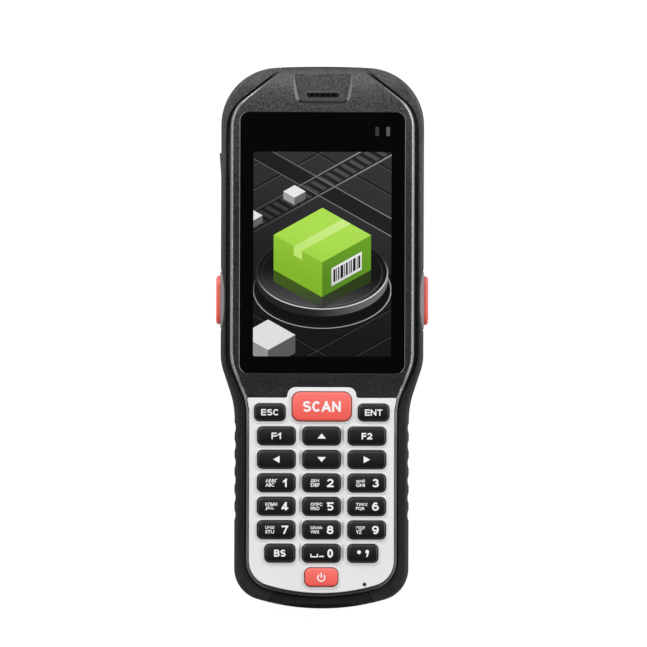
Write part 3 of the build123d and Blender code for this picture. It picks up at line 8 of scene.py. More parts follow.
import bmesh
import bpy
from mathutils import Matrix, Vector

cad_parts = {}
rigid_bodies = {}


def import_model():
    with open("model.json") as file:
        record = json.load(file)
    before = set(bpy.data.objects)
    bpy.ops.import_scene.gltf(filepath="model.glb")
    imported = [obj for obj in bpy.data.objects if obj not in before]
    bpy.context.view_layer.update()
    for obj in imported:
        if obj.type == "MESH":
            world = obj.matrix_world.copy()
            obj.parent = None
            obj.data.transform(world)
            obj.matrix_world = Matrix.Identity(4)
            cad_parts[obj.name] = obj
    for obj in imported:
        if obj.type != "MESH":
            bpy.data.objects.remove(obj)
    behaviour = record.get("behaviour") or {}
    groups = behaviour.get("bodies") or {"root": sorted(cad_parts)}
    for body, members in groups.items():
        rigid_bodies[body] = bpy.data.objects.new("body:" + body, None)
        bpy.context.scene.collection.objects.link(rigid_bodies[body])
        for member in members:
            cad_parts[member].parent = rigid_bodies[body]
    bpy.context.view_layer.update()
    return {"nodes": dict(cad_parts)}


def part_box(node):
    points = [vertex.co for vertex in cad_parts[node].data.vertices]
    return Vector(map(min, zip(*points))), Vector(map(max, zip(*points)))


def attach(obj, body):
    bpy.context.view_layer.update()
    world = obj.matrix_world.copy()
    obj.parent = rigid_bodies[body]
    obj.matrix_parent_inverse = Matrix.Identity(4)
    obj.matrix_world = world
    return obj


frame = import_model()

# Looks of a handheld barcode data terminal that lies on its back. Metres, +Z out of the display, +Y
# towards the scanner end. Sizes in the classes below are in millimetres and go through MM, apart from
# those of Studio and Lamp, which are in metres.

MM = 0.001
LOG = logging.getLogger("terminal")

# The seam between the bumper and its foot cap: a point on the right one, and how much it leans.
FOOT_SEAM = (18.3, -93.5)
FOOT_SEAM_LEAN = 0.5

Point2 = tuple[float, float]
Point3 = tuple[float, float, float]
Colour = tuple[float, float, float]
Tone = Union[int, tuple[int, int, int]]
Outline = Sequence[Point2]


def linear(tone: Tone) -> Colour:
    """Linear colour of an eight-bit display colour.

    Args:
        tone: Red, green and blue, or one number for a grey with a trace of blue.

    Returns:
        The colour as a shader takes it.
    """
    levels = (tone, tone, min(255, tone + 2)) if isinstance(tone, int) else tone
    shares = [level / 255 for level in levels]
    return tuple(x / 12.92 if x <= 0.04045 else ((x + 0.055) / 1.055) ** 2.4 for x in shares)


# --- Shader graph ---


def operator(operation: str, reflected: bool = False) -> Callable[..., "Field"]:
    """Makes an operator of a field that adds a Math node.

    Args:
        operation: The node's operation.
        reflected: Whether the field is the second value.

    Returns:
        A function of the field and, where the operation has one, another value.
    """

    def apply(one: "Field", other: "Value" = 0.0) -> "Field":
        """The node on the two values."""
        values = (other, one) if reflected else (one, other)
        return one.graph.node("ShaderNodeMath", {"operation": operation}, dict(enumerate(values)))

    return apply


class Field:
    """One node socket that takes part in arithmetic."""

    def __init__(self, graph: "Graph", socket: bpy.types.NodeSocket) -> None:
        """Wraps a socket of a graph."""
        self.graph = graph
        self.socket = socket

    __add__ = __radd__ = operator("ADD")
    __mul__ = __rmul__ = operator("MULTIPLY")
    __sub__ = operator("SUBTRACT")
    __rsub__ = operator("SUBTRACT", reflected=True)
    __truediv__ = operator("DIVIDE")
    __lt__ = operator("LESS_THAN")
    __abs__ = operator("ABSOLUTE")
    larger = operator("MAXIMUM")
    rounded = operator("ROUND")

    def from_nearest(self) -> "Field":
        """Distance to the nearest whole number, from 0 to a half."""
        return abs(self - self.rounded())

    def clamped(self) -> "Field":
        """This value held between nought and one."""
        return self.graph.node("ShaderNodeClamp", {}, {"Value": self})

    def between(self, low: float, high: float) -> "Field":
        """Nought at low rising smoothly to one at high."""
        inputs = {"Value": self, "From Min": low, "From Max": high}
        return self.graph.node("ShaderNodeMapRange", {"interpolation_type": "SMOOTHSTEP"}, inputs)


Value = Union[Field, int, float, Sequence[float]]
Inputs = dict[Union[str, int], Value]


class Graph:
    """Node tree of one material or world."""

    def __init__(self, tree: bpy.types.NodeTree) -> None:
        """Takes over a tree and empties it."""
        self.tree = tree
        tree.nodes.clear()

    def node(
        self,
        kind: str,
        settings: Optional[dict[str, object]] = None,
        inputs: Optional[Inputs] = None,
        output: Union[str, int] = 0,
    ) -> Field:
        """Adds a node.

        Args:
            kind: The node's type.
            settings: Its properties, set before its sockets.
            inputs: Values or links of its sockets, by name or index.
            output: The socket that comes back.

        Returns:
            The output socket as a field.
        """
        made = self.tree.nodes.new(kind)
        for name, value in (settings or {}).items():
            setattr(made, name, value)
        for key, value in (inputs or {}).items():
            socket = made.inputs[key]
            if isinstance(value, Field):
                self.tree.links.new(value.socket, socket)
            elif socket.type == "RGBA" and len(value) == 3:
                socket.default_value = (*value, 1.0)
            else:
                socket.default_value = value
        return Field(self, made.outputs[output])

    def place(self, kind: str = "Object") -> Field:
        """Texture coordinates: Object is the frame itself, Generated runs from 0 to 1 over the piece."""
        return self.node("ShaderNodeTexCoord", output=kind)

    def axes(self, vector: Field) -> tuple[Field, Field, Field]:
        """The three components of a vector."""
        split = self.node("ShaderNodeSeparateXYZ", {}, {0: vector})
        return tuple(Field(self, output) for output in split.socket.node.outputs)

    def noise(
        self, size: float, detail: float, offset: float = 0.0, stretch: Point3 = (1.0, 1.0, 1.0)
    ) -> Field:
        """Noise over the frame.

        Args:
            size: Width of its features in millimetres.
            detail: Number of finer layers.
            offset: Place along the fourth axis, which tells one noise from another.
            stretch: Factors on the three axes. A small one makes long features.

        Returns:
            The noise, from 0 to 1.
        """
        where = self.node("ShaderNodeVectorMath", {"operation": "MULTIPLY"}, {0: self.place(), 1: stretch})
        inputs = {"Vector": where, "W": offset, "Scale": 1.0 / (size * MM), "Detail": detail}
        return self.node("ShaderNodeTexNoise", {"noise_dimensions": "4D"}, inputs)

    def mix(self, factor: Value, first: Value, second: Value) -> Field:
        """Colour between first, at factor 0, and second, at 1."""
        inputs = {0: factor, 6: first, 7: second}
        return self.node("ShaderNodeMix", {"data_type": "RGBA"}, inputs, output=2)

    def tinted(self, colour: Value, factor: Value) -> Field:
        """A colour made lighter or darker by a factor."""
        return self.node("ShaderNodeVectorMath", {"operation": "SCALE"}, {0: colour, "Scale": factor})

    def bump(self, height: Value, depth: float, base: Optional[Field] = None) -> Field:
        """Normal of a raised surface.

        Args:
            height: Height, from 0 to 1.
            depth: What a height of 1 stands for, in millimetres.
            base: The normal that is raised, where it isn't the face's own.

        Returns:
            The normal.
        """
        inputs: Inputs = {"Distance": depth * MM, "Height": height}
        if base is not None:
            inputs["Normal"] = base
        return self.node("ShaderNodeBump", {}, inputs)

    def lean_masks(self) -> tuple[Field, Field, Field]:
        """Masks of the way that a face leans, from the parts of its normal.

        Returns:
            One where it leans to the left or right, one where it leans to the scanner end, and one
            where it looks up.
        """
        across, along, up = self.axes(self.node("ShaderNodeNewGeometry", output="Normal"))
        lean = abs(across)
        shoulder = lean.between(0.12, 0.3) * (1.0 - lean.between(0.86, 0.97))
        hood = along.between(0.5, 0.68) * (1.0 - along.between(0.9, 0.98))
        return shoulder, hood, up.between(0.2, 0.8)

    def edge_mask(self, radius: float, gain: float = 3.0) -> Field:
        """Mask of the convex and concave edges.

        Args:
            radius: How far from an edge it reaches, in millimetres.
            gain: How fast it rises towards the edge.

        Returns:
            One on edges, nought on flats.
        """
        soft = self.node("ShaderNodeBevel", {"samples": 4}, {"Radius": radius * MM})
        plain = self.node("ShaderNodeNewGeometry", output="Normal")
        settings = {"operation": "DOT_PRODUCT"}
        cosine = self.node("ShaderNodeVectorMath", settings, {0: soft, 1: plain}, output="Value")
        return ((1.0 - cosine) * gain).clamped()


class Surface(Graph):
    """Material of one shader."""

    def __init__(self, name: str) -> None:
        """Makes an empty material.

        Args:
            name: The material's name.
        """
        self.material = bpy.data.materials.new(name)
        self.material.use_nodes = True
        super().__init__(self.material.node_tree)

    def finish(self, colour: Value, roughness: Value, others: Inputs) -> bpy.types.Material:
        """Adds a Principled shader and ends the tree in it.

        Args:
            colour: The base colour.
            roughness: The roughness, held between nought and one where it varies.
            others: Further inputs of the shader.

        Returns:
            The material.
        """
        held = roughness.clamped() if isinstance(roughness, Field) else roughness
        inputs = {"Base Color": colour, "Roughness": held, **others}
        self.end_in(self.node("ShaderNodeBsdfPrincipled", {}, inputs))
        return self.material

    def end_in(self, shader: Field) -> None:
        """Ends the tree in a shader."""
        end = self.tree.nodes.new("ShaderNodeOutputMaterial")
        self.tree.links.new(shader.socket, end.inputs["Surface"])


# --- Finishes ---


@dataclass(frozen=True)
class Finish:
    """A named look."""

    name: str

    def build(self) -> bpy.types.Material:
        """Makes the material."""
        raise NotImplementedError


@dataclass(frozen=True)
class Moulded(Finish):
    """Moulded plastic or rubber with a spark-eroded grain.

    Painted shade darkens the colour towards the grip: it rises from the grip's share to the whole
    between two places along the body. Polish smooths the shoulders, and a painted highlight lightens
    them into a bright rim line and makes that band partly metallic. Painted shade darkens faces that
    lean to the scanner end, and capped darkens the foot beyond its seams. Edges are lightened,
    partly as wear and partly as a painted highlight.
    """

    colour: Colour
    roughness: float
    grain: float
    grain_depth: float
    speckle: float
    # Edge lightening, partly wear and partly a painted highlight.
    wear_and_edge_highlight: float = 0.8
    polish: float = 0.0
    specular: float = 0.5
    # Painted shade towards the grip: the share of colour left there, and where along the body it fades out.
    grip_shaded_share: float = 1.0
    shade_fade: Point2 = (-30.0, 80.0)
    # Painted highlight on the shoulders, a bright rim line, and how metallic that band is.
    painted_rim_highlight: float = 0.0
    highlight_metallic: float = 0.0
    # Painted shade on faces that lean to the scanner end.
    painted_end_shade: float = 0.0
    capped: float = 0.0

    CLOUD = 0.24
    DARKEST = 0.2
    # Where the painted rim highlight grows from its grip share to its whole, and that grip share.
    HEAD_START = (-38.0, -18.0)
    GRIP_HIGHLIGHT = 0.3
    CAP_LENGTH = 6.0
    CAP_BLUR = 0.1

    def build(self) -> bpy.types.Material:
        """Colour speckle, slow mottling, edges lightened partly as wear and partly as a painted highlight,
        smooth shoulders lightened into a painted rim highlight, painted shade towards the grip and on
        faces that lean to the scanner end, and a grain bump.

        Returns:
            The material.
        """
        s = Surface(self.name)
        grain = s.noise(self.grain, 3.0)
        fine = s.noise(self.grain * 0.4, 2.0, 3.0)
        cloud = s.noise(22.0, 3.0, 7.0)
        smear = s.noise(9.0, 4.0, 11.0, (1.0, 0.35, 1.0))
        edge = s.edge_mask(0.4)
        shoulder, hood, flat = s.lean_masks()
        across, along, _ = s.axes(s.place())
        across, along = abs(across) / MM, along / MM
        # Where the painted shade towards the grip fades out.
        shade_fade = along.between(*self.shade_fade)
        head = along.between(*self.HEAD_START)
        fleck = ((grain - 0.5) * 0.7 + (fine - 0.5) * 0.6) * (0.4 + flat * 0.6)
        # Edges are lightened, partly as wear and partly as a painted highlight.
        shade = 1.0 + fleck * (2 * self.speckle) + (cloud - 0.5) * self.CLOUD + edge * self.wear_and_edge_highlight
        # Faces that lean to the scanner end are darkened as painted shade.
        shade = shade.larger(self.DARKEST) * (1.0 - hood * self.painted_end_shade)
        # Painted highlight on the shoulders: a bright rim line, weaker in the grip, none on faces leaning
        # to the scanner end.
        rim_highlight = shoulder * (self.GRIP_HIGHLIGHT + head * (1.0 - self.GRIP_HIGHLIGHT)) * (1.0 - hood)
        # Painted shade darkens the colour towards the grip; the painted rim highlight is added on top.
        tone = shade * (self.grip_shaded_share + shade_fade * (1.0 - self.grip_shaded_share)) + rim_highlight * self.painted_rim_highlight
        seam_x, seam_y = FOOT_SEAM
        beyond = across + (along - seam_y) * FOOT_SEAM_LEAN
        cap = 1.0 - beyond.between(seam_x - self.CAP_BLUR, seam_x + self.CAP_BLUR)
        cap = cap * (along < seam_y + self.CAP_LENGTH)
        rough = self.roughness + (smear - 0.5) * 0.16 + (fine - 0.5) * 0.2 - edge * 0.1
        height = (grain * 0.6 + fine * 0.4) * (1.0 - shoulder * 0.93)
        others = {
            "Normal": s.bump(height, self.grain_depth),
            "Specular IOR Level": self.specular,
            # The painted highlight band is made partly metallic.
            "Metallic": rim_highlight * self.highlight_metallic,
        }
        colour = s.tinted(self.colour, tone * (1.0 - cap * self.capped))
        return s.finish(colour, rough - shoulder * self.polish, others)


@dataclass(frozen=True)
class KeyPlastic(Finish):
    """Hard-coated key cap, slightly crowned, with a satin gloss and painted shade towards the foot."""

    # Foot and head colours: the cap is painted darker towards its foot, as painted shade.
    foot: Colour
    head: Colour
    roughness: float = 0.3
    crown: float = 0.8
    coat: float = 0.2
    subsurface: float = 0.0

    def build(self) -> bpy.types.Material:
        """Crown over the length of the cap, painted shade towards its foot, fine orange peel and
        finger polish.

        Returns:
            The material.
        """
        s = Surface(self.name)
        _, along, _ = s.axes(s.place("Generated"))
        peel = s.noise(0.5, 2.0)
        polish = s.noise(3.5, 3.0, 5.0) - 0.5
        edge = s.edge_mask(0.3, 2.0)
        crowned = s.bump(along * (1.0 - along) * 4.0, self.crown)
        others: Inputs = {
            "Normal": s.bump(peel, 0.006, crowned),
            "Specular IOR Level": 0.35,
            "Coat Weight": self.coat,
            "Coat Roughness": 0.12,
        }
        if self.subsurface:
            others["Subsurface Weight"] = self.subsurface
            others["Subsurface Scale"] = 0.8 * MM
            others["Subsurface Radius"] = (1.0, 0.3, 0.2)
        # Painted shade: the colour darkens from the head of the cap to its foot.
        colour = s.tinted(s.mix(along, self.foot, self.head), 1.0 + polish * 0.12 + edge * 0.25)
        return s.finish(colour, self.roughness + polish * 0.14, others)


@dataclass(frozen=True)
class SatinPaint(Finish):
    """Sprayed satin paint with a faint metal flake."""

    colour: Colour
    roughness: float
    flake: float
    metallic: float = 0.0
    flake_size: float = 0.28
    flake_detail: float = 1.0
    cloud: float = 0.04

    def dish(self, s: Surface) -> tuple[Value, Optional[Field]]:
        """How much painted shade darkens the paint in hollows, and their normal. Plain paint has none."""
        return 0.0, None

    def build(self) -> bpy.types.Material:
        """Flake, slow cloud, a soft orange peel and hollows with painted shade.

        Returns:
            The material.
        """
        s = Surface(self.name)
        hollow_shade, dished = self.dish(s)
        flake = s.noise(self.flake_size, self.flake_detail) - 0.5
        cloud = s.noise(14.0, 3.0, 2.0) - 0.5
        peel = s.noise(0.9, 2.0, 4.0)
        # Painted shade in the hollows darkens the colour.
        colour = s.tinted(self.colour, 1.0 - hollow_shade + flake * (2 * self.flake) + cloud * self.cloud)
        others = {"Metallic": self.metallic, "Normal": s.bump(peel, 0.008, dished)}
        others.update({"Coat Weight": 0.15, "Coat Roughness": 0.25})
        return s.finish(colour, self.roughness + flake * 0.12 + cloud * 0.08, others)


@dataclass(frozen=True, kw_only=True)
class DishedPaint(SatinPaint):
    """Silver paint on the keypad plate, which is dished between the key columns and darkened
    there with painted shade.

    Columns and rows are the place of the first key and the pitch, in millimetres.
    """

    columns: Point2
    rows: Point2
    last_row: float
    # How dark the painted shade in the hollows is.
    shade: float = 0.47
    hollow_depth: float = 0.5

    def dish(self, s: Surface) -> tuple[Value, Optional[Field]]:
        """Soft hollows beside the keys, darkened with painted shade.

        Args:
            s: The material that they are made for.

        Returns:
            How much painted shade darkens the paint, and their normal.
        """
        x, y, _ = s.axes(s.place())
        x, y = x / MM, y / MM
        (first_x, pitch_x), (first_y, pitch_y) = self.columns, self.rows
        across = ((x - first_x) / pitch_x).from_nearest()
        along = ((y - first_y) / pitch_y).from_nearest()
        beside = across.between(0.435, 0.5) * (1.0 - along.between(0.12, 0.46))
        start, end = first_y - pitch_y * 0.5, self.last_row + pitch_y * 0.5
        inside = y.between(start, start + 1.0) * (1.0 - y.between(end - 1.0, end))
        hollow = beside * (inside * (1.0 - abs(x).between(pitch_x, pitch_x * 1.2)))
        return hollow * self.shade, s.bump(1.0 - hollow, self.hollow_depth)


@dataclass(frozen=True)
class Metal(Finish):
    """Bare or plated metal, brushed along the body."""

    colour: Colour
    roughness: float
    tarnish: float = 0.15

    def build(self) -> bpy.types.Material:
        """Brushed streaks, tarnish and bright edges.

        Returns:
            The material.
        """
        s = Surface(self.name)
        streak = s.noise(0.25, 2.0, stretch=(1.0, 0.06, 1.0))
        stain = s.noise(4.0, 3.0, 6.0)
        shade = 1.0 - stain * self.tarnish + (streak - 0.5) * 0.2 + s.edge_mask(0.15) * 0.15
        rough = self.roughness + (streak - 0.5) * 0.2 + stain * 0.08
        others = {"Metallic": 1.0, "Normal": s.bump(streak, 0.006)}
        return s.finish(s.tinted(self.colour, shade), rough, others)


@dataclass(frozen=True)
class ClearPane(Finish):
    """Clear or tinted pane with faint wipe marks."""

    colour: Colour
    ior: float
    transmission: float = 1.0
    roughness: float = 0.02

    def build(self) -> bpy.types.Material:
        """Transmitting shader whose roughness varies with wipe marks.

        Returns:
            The material.
        """
        s = Surface(self.name)
        wipe = s.noise(6.0, 4.0, stretch=(1.0, 0.2, 1.0))
        colour = s.tinted(self.colour, 1.0 - s.edge_mask(0.2) * 0.1)
        others = {"IOR": self.ior, "Transmission Weight": self.transmission}
        return s.finish(colour, self.roughness + wipe * 0.02, others)


@dataclass(frozen=True)
class GlossPrint(Finish):
    """Even print or film with a faint dot grain."""

    colour: Colour
    roughness: float = 0.3

    def build(self) -> bpy.types.Material:
        """Ink with a dot grain in its colour and gloss.

        Returns:
            The material.
        """
        s = Surface(self.name)
        dots = s.noise(0.3, 1.0) - 0.5
        return s.finish(s.tinted(self.colour, 1.0 + dots * 0.3), self.roughness + dots * 0.1, {})


@dataclass(frozen=True)
class Lit(Finish):
    """Lit dots of the display, shaded from one tone to another.

    Start and end are where the two tones stand, in millimetres along the heading.
    """

    low: Tone
    high: Tone
    heading: Point2 = (0.0, 1.0)
    start: float = 0.0
    end: float = 1.0
    speckle: float = 0.06

    def build(self) -> bpy.types.Material:
        """Emission with a slight mottle.

        Returns:
            The material.
        """
        s = Surface(self.name)
        x, y, _ = s.axes(s.place())
        along = (x * self.heading[0] + y * self.heading[1]) / MM
        mottle = s.noise(1.4, 4.0) - 0.5
        colour = s.mix(along.between(self.start, self.end), linear(self.low), linear(self.high))
        colour = s.tinted(colour, 1.0 + mottle * (2 * self.speckle))
        others = {"Specular IOR Level": 0.0, "Emission Color": colour, "Emission Strength": 1.0}
        return s.finish((0.0, 0.0, 0.0), 0.6, others)


@dataclass(frozen=True)
class Ink(Finish):
    """Opaque printed ink."""

    colour: Colour

    def build(self) -> bpy.types.Material:
        """Slightly uneven ink.

        Returns:
            The material.
        """
        s = Surface(self.name)
        patch = s.noise(0.35, 3.0)
        colour = s.tinted(self.colour, 0.97 + patch * 0.06)
        return s.finish(colour, 0.42 + (patch - 0.5) * 0.15, {"Normal": s.bump(patch, 0.003)})


# --- Mesh helpers ---


def disc(x: float, y: float, radius: float, steps: int = 28) -> list[Point2]:
    """Corners of a round outline."""
    turns = (math.tau * index / steps for index in range(steps))
    return [(x + radius * math.cos(turn), y + radius * math.sin(turn)) for turn in turns]


def rectangle(x: float, y: float, width: float, length: float) -> list[Point2]:
    """Corners of an upright rectangle about a centre."""
    signs = ((-1, -1), (1, -1), (1, 1), (-1, 1))
    return [(x + across * width / 2, y + along * length / 2) for across, along in signs]


def sweep(centre: Point2, radii: Point2, start: float, end: float, steps: int = 12) -> list[Point2]:
    """Points of an elliptic arc from a start to an end angle in degrees."""
    turns = (math.radians(start + (end - start) * index / steps) for index in range(steps + 1))
    return [(centre[0] + radii[0] * math.cos(a), centre[1] + radii[1] * math.sin(a)) for a in turns]


def capsule(x: float, y: float, width: float, length: float) -> list[Point2]:
    """Outline of a bar with round ends that is longer across than along.

    Args:
        x: Its middle across.
        y: Its middle along.
        width: Its size across, with the round ends.
        length: Its size along.

    Returns:
        The corners, in order.
    """
    reach, radii = (width - length) / 2, (length / 2, length / 2)
    return sweep((x + reach, y), radii, -90, 90, 8) + sweep((x - reach, y), radii, 90, 270, 8)


def stroke(points: Outline, width: float) -> list[Point2]:
    """Outline of a mitred line of even width.

    Args:
        points: The line's middle, from end to end.
        width: The line's width.

    Returns:
        The corners, along one side and back along the other.
    """
    least_cosine = 0.4  # Keeps the tip of a sharp corner short.
    left: list[Point2] = []
    right: list[Point2] = []
    last = len(points) - 1
    for index, (x, y) in enumerate(points):
        before = Vector(points[max(index - 1, 0)])
        after = Vector(points[min(index + 1, last)])
        here = Vector((x, y))
        into = (here - before).normalized() if index else (after - here).normalized()
        out = (after - here).normalized() if index < last else into
        middle = (into + out).normalized()
        normal = Vector((-middle.y, middle.x))
        reach = width / 2 / max(least_cosine, normal.dot(Vector((-into.y, into.x))))
        left.append((x + normal.x * reach, y + normal.y * reach))
        right.append((x - normal.x * reach, y - normal.y * reach))
    return left + right[::-1]


def clip(outline: Outline, low: Point2, high: Point2) -> list[Point2]:
    """Cuts an outline to an upright rectangle.

    Args:
        outline: The corners, in order.
        low: The rectangle's lower left corner.
        high: Its upper right corner.

    Returns:
        The corners of what lies inside.
    """
    kept = list(outline)
    for axis, way, limit in ((0, 1, high[0]), (0, -1, -low[0]), (1, 1, high[1]), (1, -1, -low[1])):
        cut: list[Point2] = []
        for first, second in zip(kept, [*kept[1:], *kept[:1]]):
            inside, next_inside = first[axis] * way <= limit, second[axis] * way <= limit
            if inside:
                cut.append(first)
            if inside != next_inside:
                share = (limit - first[axis] * way) / ((second[axis] - first[axis]) * way)
                cut.append(tuple(a + (b - a) * share for a, b in zip(first, second)))
        kept = cut
    return kept


def made_mesh(shape: bmesh.types.BMesh) -> bpy.types.Mesh:
    """Turns a shape into a mesh and frees it.

    Args:
        shape: The shape, in metres.

    Returns:
        The mesh.
    """
    mesh = bpy.data.meshes.new("piece")
    shape.to_mesh(mesh)
    shape.free()
    return mesh


def slab_mesh(outlines: Iterable[Outline], low: float, high: float, step: float = 0.0) -> bpy.types.Mesh:
    """Upright prisms over flat outlines.

    Args:
        outlines: Each outline's corners in millimetres, in order.
        low: Height of the undersides in millimetres.
        high: Height of the first top in millimetres.
        step: How much higher each further top lies, so that tops that cross stay apart.

    Returns:
        One mesh with all the prisms.
    """
    shape = bmesh.new()
    for turn, outline in enumerate(outlines):
        rise = high + step * turn
        area = sum(a[0] * b[1] - b[0] * a[1] for a, b in zip(outline, (*outline[1:], outline[0])))
        corners = outline if area > 0 else tuple(reversed(outline))
        top = [shape.verts.new((x * MM, y * MM, rise * MM)) for x, y in corners]
        foot = [shape.verts.new((x * MM, y * MM, low * MM)) for x, y in corners]
        shape.faces.new(top)
        shape.faces.new(tuple(reversed(foot)))
        for index in range(len(top)):
            after = (index + 1) % len(top)
            shape.faces.new((foot[index], foot[after], top[after], top[index]))
    shape.normal_update()
    bmesh.ops.triangulate(shape, faces=[face for face in shape.faces if len(face.verts) > 4])
    return made_mesh(shape)


def print_mesh(outlines: Iterable[Outline]) -> bpy.types.Mesh:
    """Prisms in plain millimetres, from nought to about one high.

    Args:
        outlines: Each outline's corners.

    Returns:
        One mesh with all the prisms, each a little higher than the one before.
    """
    mesh = slab_mesh(outlines, 0.0, 1.0, 0.06)
    for vertex in mesh.vertices:
        vertex.co /= MM
    return mesh


def ring_mesh(inner: Outline, outer: Outline, low: float, high: float) -> bpy.types.Mesh:
    """Flat washer with upright walls.

    Args:
        inner: Corners of the hole in millimetres.
        outer: As many corners of the rim.
        low: Height of the underside in millimetres.
        high: Height of the top in millimetres.

    Returns:
        The washer's mesh.
    """
    shape = bmesh.new()
    loops = []
    for corners, height in ((inner, low), (outer, low), (outer, high), (inner, high)):
        loops.append([shape.verts.new((a * MM, b * MM, height * MM)) for a, b in corners])
    for first, second in zip(loops, (*loops[1:], loops[0])):
        for index in range(len(inner)):
            after = (index + 1) % len(inner)
            shape.faces.new((first[after], first[index], second[index], second[after]))
    return made_mesh(shape)


def skin_strip(
    node: str, where: Point2, across: Point2, width: float, proud: float, reach: float = 9.0
) -> bpy.types.Mesh:
    """Strip of a node's outer skin between two upright planes, as a thin closed solid.

    Args:
        node: CAD node whose skin it follows.
        where: Point in the strip's middle, seen from the front, in millimetres.
        across: Direction over the strip's width.
        width: Width of the strip in millimetres.
        proud: How far it stands over the skin, in millimetres. It is rooted in it deeper than that.
        reach: How far from the point the strip runs, in millimetres.

    Returns:
        The strip's mesh.
    """
    inwards, downwards, root = -0.2, -0.9, 3.0
    normal = Vector((*across, 0.0)).normalized()
    middle = Vector((*where, 0.0)) * MM
    outward = middle.normalized()
    shape = bmesh.new()
    shape.from_mesh(frame["nodes"][node].data)
    for way in (-1, 1):
        parts = [*shape.verts, *shape.edges, *shape.faces]
        plane = middle + normal * (way * width / 2 * MM)
        bmesh.ops.bisect_plane(shape, geom=parts, plane_co=plane, plane_no=normal * way, clear_outer=True)

    def unwanted(face: bmesh.types.BMFace) -> bool:
        """Whether a face lies too far off, or looks inwards or straight down."""
        far = (face.calc_center_median() - middle).xy.length > reach * MM
        return far or face.normal.dot(outward) < inwards or face.normal.z < downwards

    bmesh.ops.delete(shape, geom=[face for face in shape.faces if unwanted(face)], context="FACES")
    shape.normal_update()
    lower = shape.verts[:]
    leans = {tuple(vertex.co): vertex.normal.copy() for vertex in lower}
    raised = bmesh.ops.extrude_face_region(shape, geom=shape.faces[:], use_keep_orig=True)["geom"]
    for vertex in (item for item in raised if isinstance(item, bmesh.types.BMVert)):
        vertex.co += leans[tuple(vertex.co)] * (proud * MM)
    for vertex in lower:
        vertex.co -= leans[tuple(vertex.co)] * (root * proud * MM)
    bmesh.ops.recalc_face_normals(shape, faces=shape.faces[:])
    return made_mesh(shape)


# --- Dressing of the CAD nodes ---


class Slot(Enum):
    """Material slots of the record, given with each added piece."""

    HOUSING = "housing_plastic"
    DISPLAY = "display_panel"
    KEY = "key_black"
    RED = "signal_red"
    CAMERA = "camera_pane"


def middle_of(node: str) -> Point2:
    """Middle of a node, seen from the front, in millimetres."""
    low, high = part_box(node)
    return (low.x + high.x) / 2 / MM, (low.y + high.y) / 2 / MM


def add_object(name: str, mesh: bpy.types.Mesh, material: bpy.types.Material) -> bpy.types.Object:
    """Names a mesh and links it as an object.

    Args:
        name: The name of both.
        mesh: The mesh.
        material: Its one material.

    Returns:
        The object.
    """
    mesh.name = name
    made = bpy.data.objects.new(name, mesh)
    bpy.context.scene.collection.objects.link(made)
    mesh.materials.append(material)
    return made


class Dresser:
    """Puts finishes on the CAD nodes and adds pieces to them."""

    def __init__(self) -> None:
        """Starts with no finish built."""
        self.built: dict[str, bpy.types.Material] = {}

    def material(self, finish: Finish) -> bpy.types.Material:
        """The material of a finish, which is built once.

        Args:
            finish: The finish.

        Returns:
            Its material.
        """
        if finish.name not in self.built:
            self.built[finish.name] = finish.build()
        return self.built[finish.name]

    def dress(self, finish: Finish, *nodes: str) -> None:
        """Gives CAD nodes a finish through their material slots.

        Args:
            finish: The finish.
            nodes: Names of the nodes.
        """
        material = self.material(finish)
        for name in nodes:
            node = frame["nodes"][name]
            if not node.material_slots:
                node.data.materials.append(material)
            for slot in node.material_slots:
                slot.link = "OBJECT"
                slot.material = material
            LOG.info("dressed %s as %s", name, finish.name)

    def add(
        self, name: str, mesh: bpy.types.Mesh, finish: Finish, slot: Slot, body: str = "housing"
    ) -> None:
        """Makes a mesh a piece that rides on a body.

        Args:
            name: The piece's name.
            mesh: Its mesh.
            finish: Its finish.
            slot: The record's slot that it belongs to. It is not used.
            body: The body's name.
        """
        piece = add_object(name, mesh, self.material(finish))
        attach(piece, body)
        LOG.info("made %s on %s", piece.name, body)


# --- Shell ---


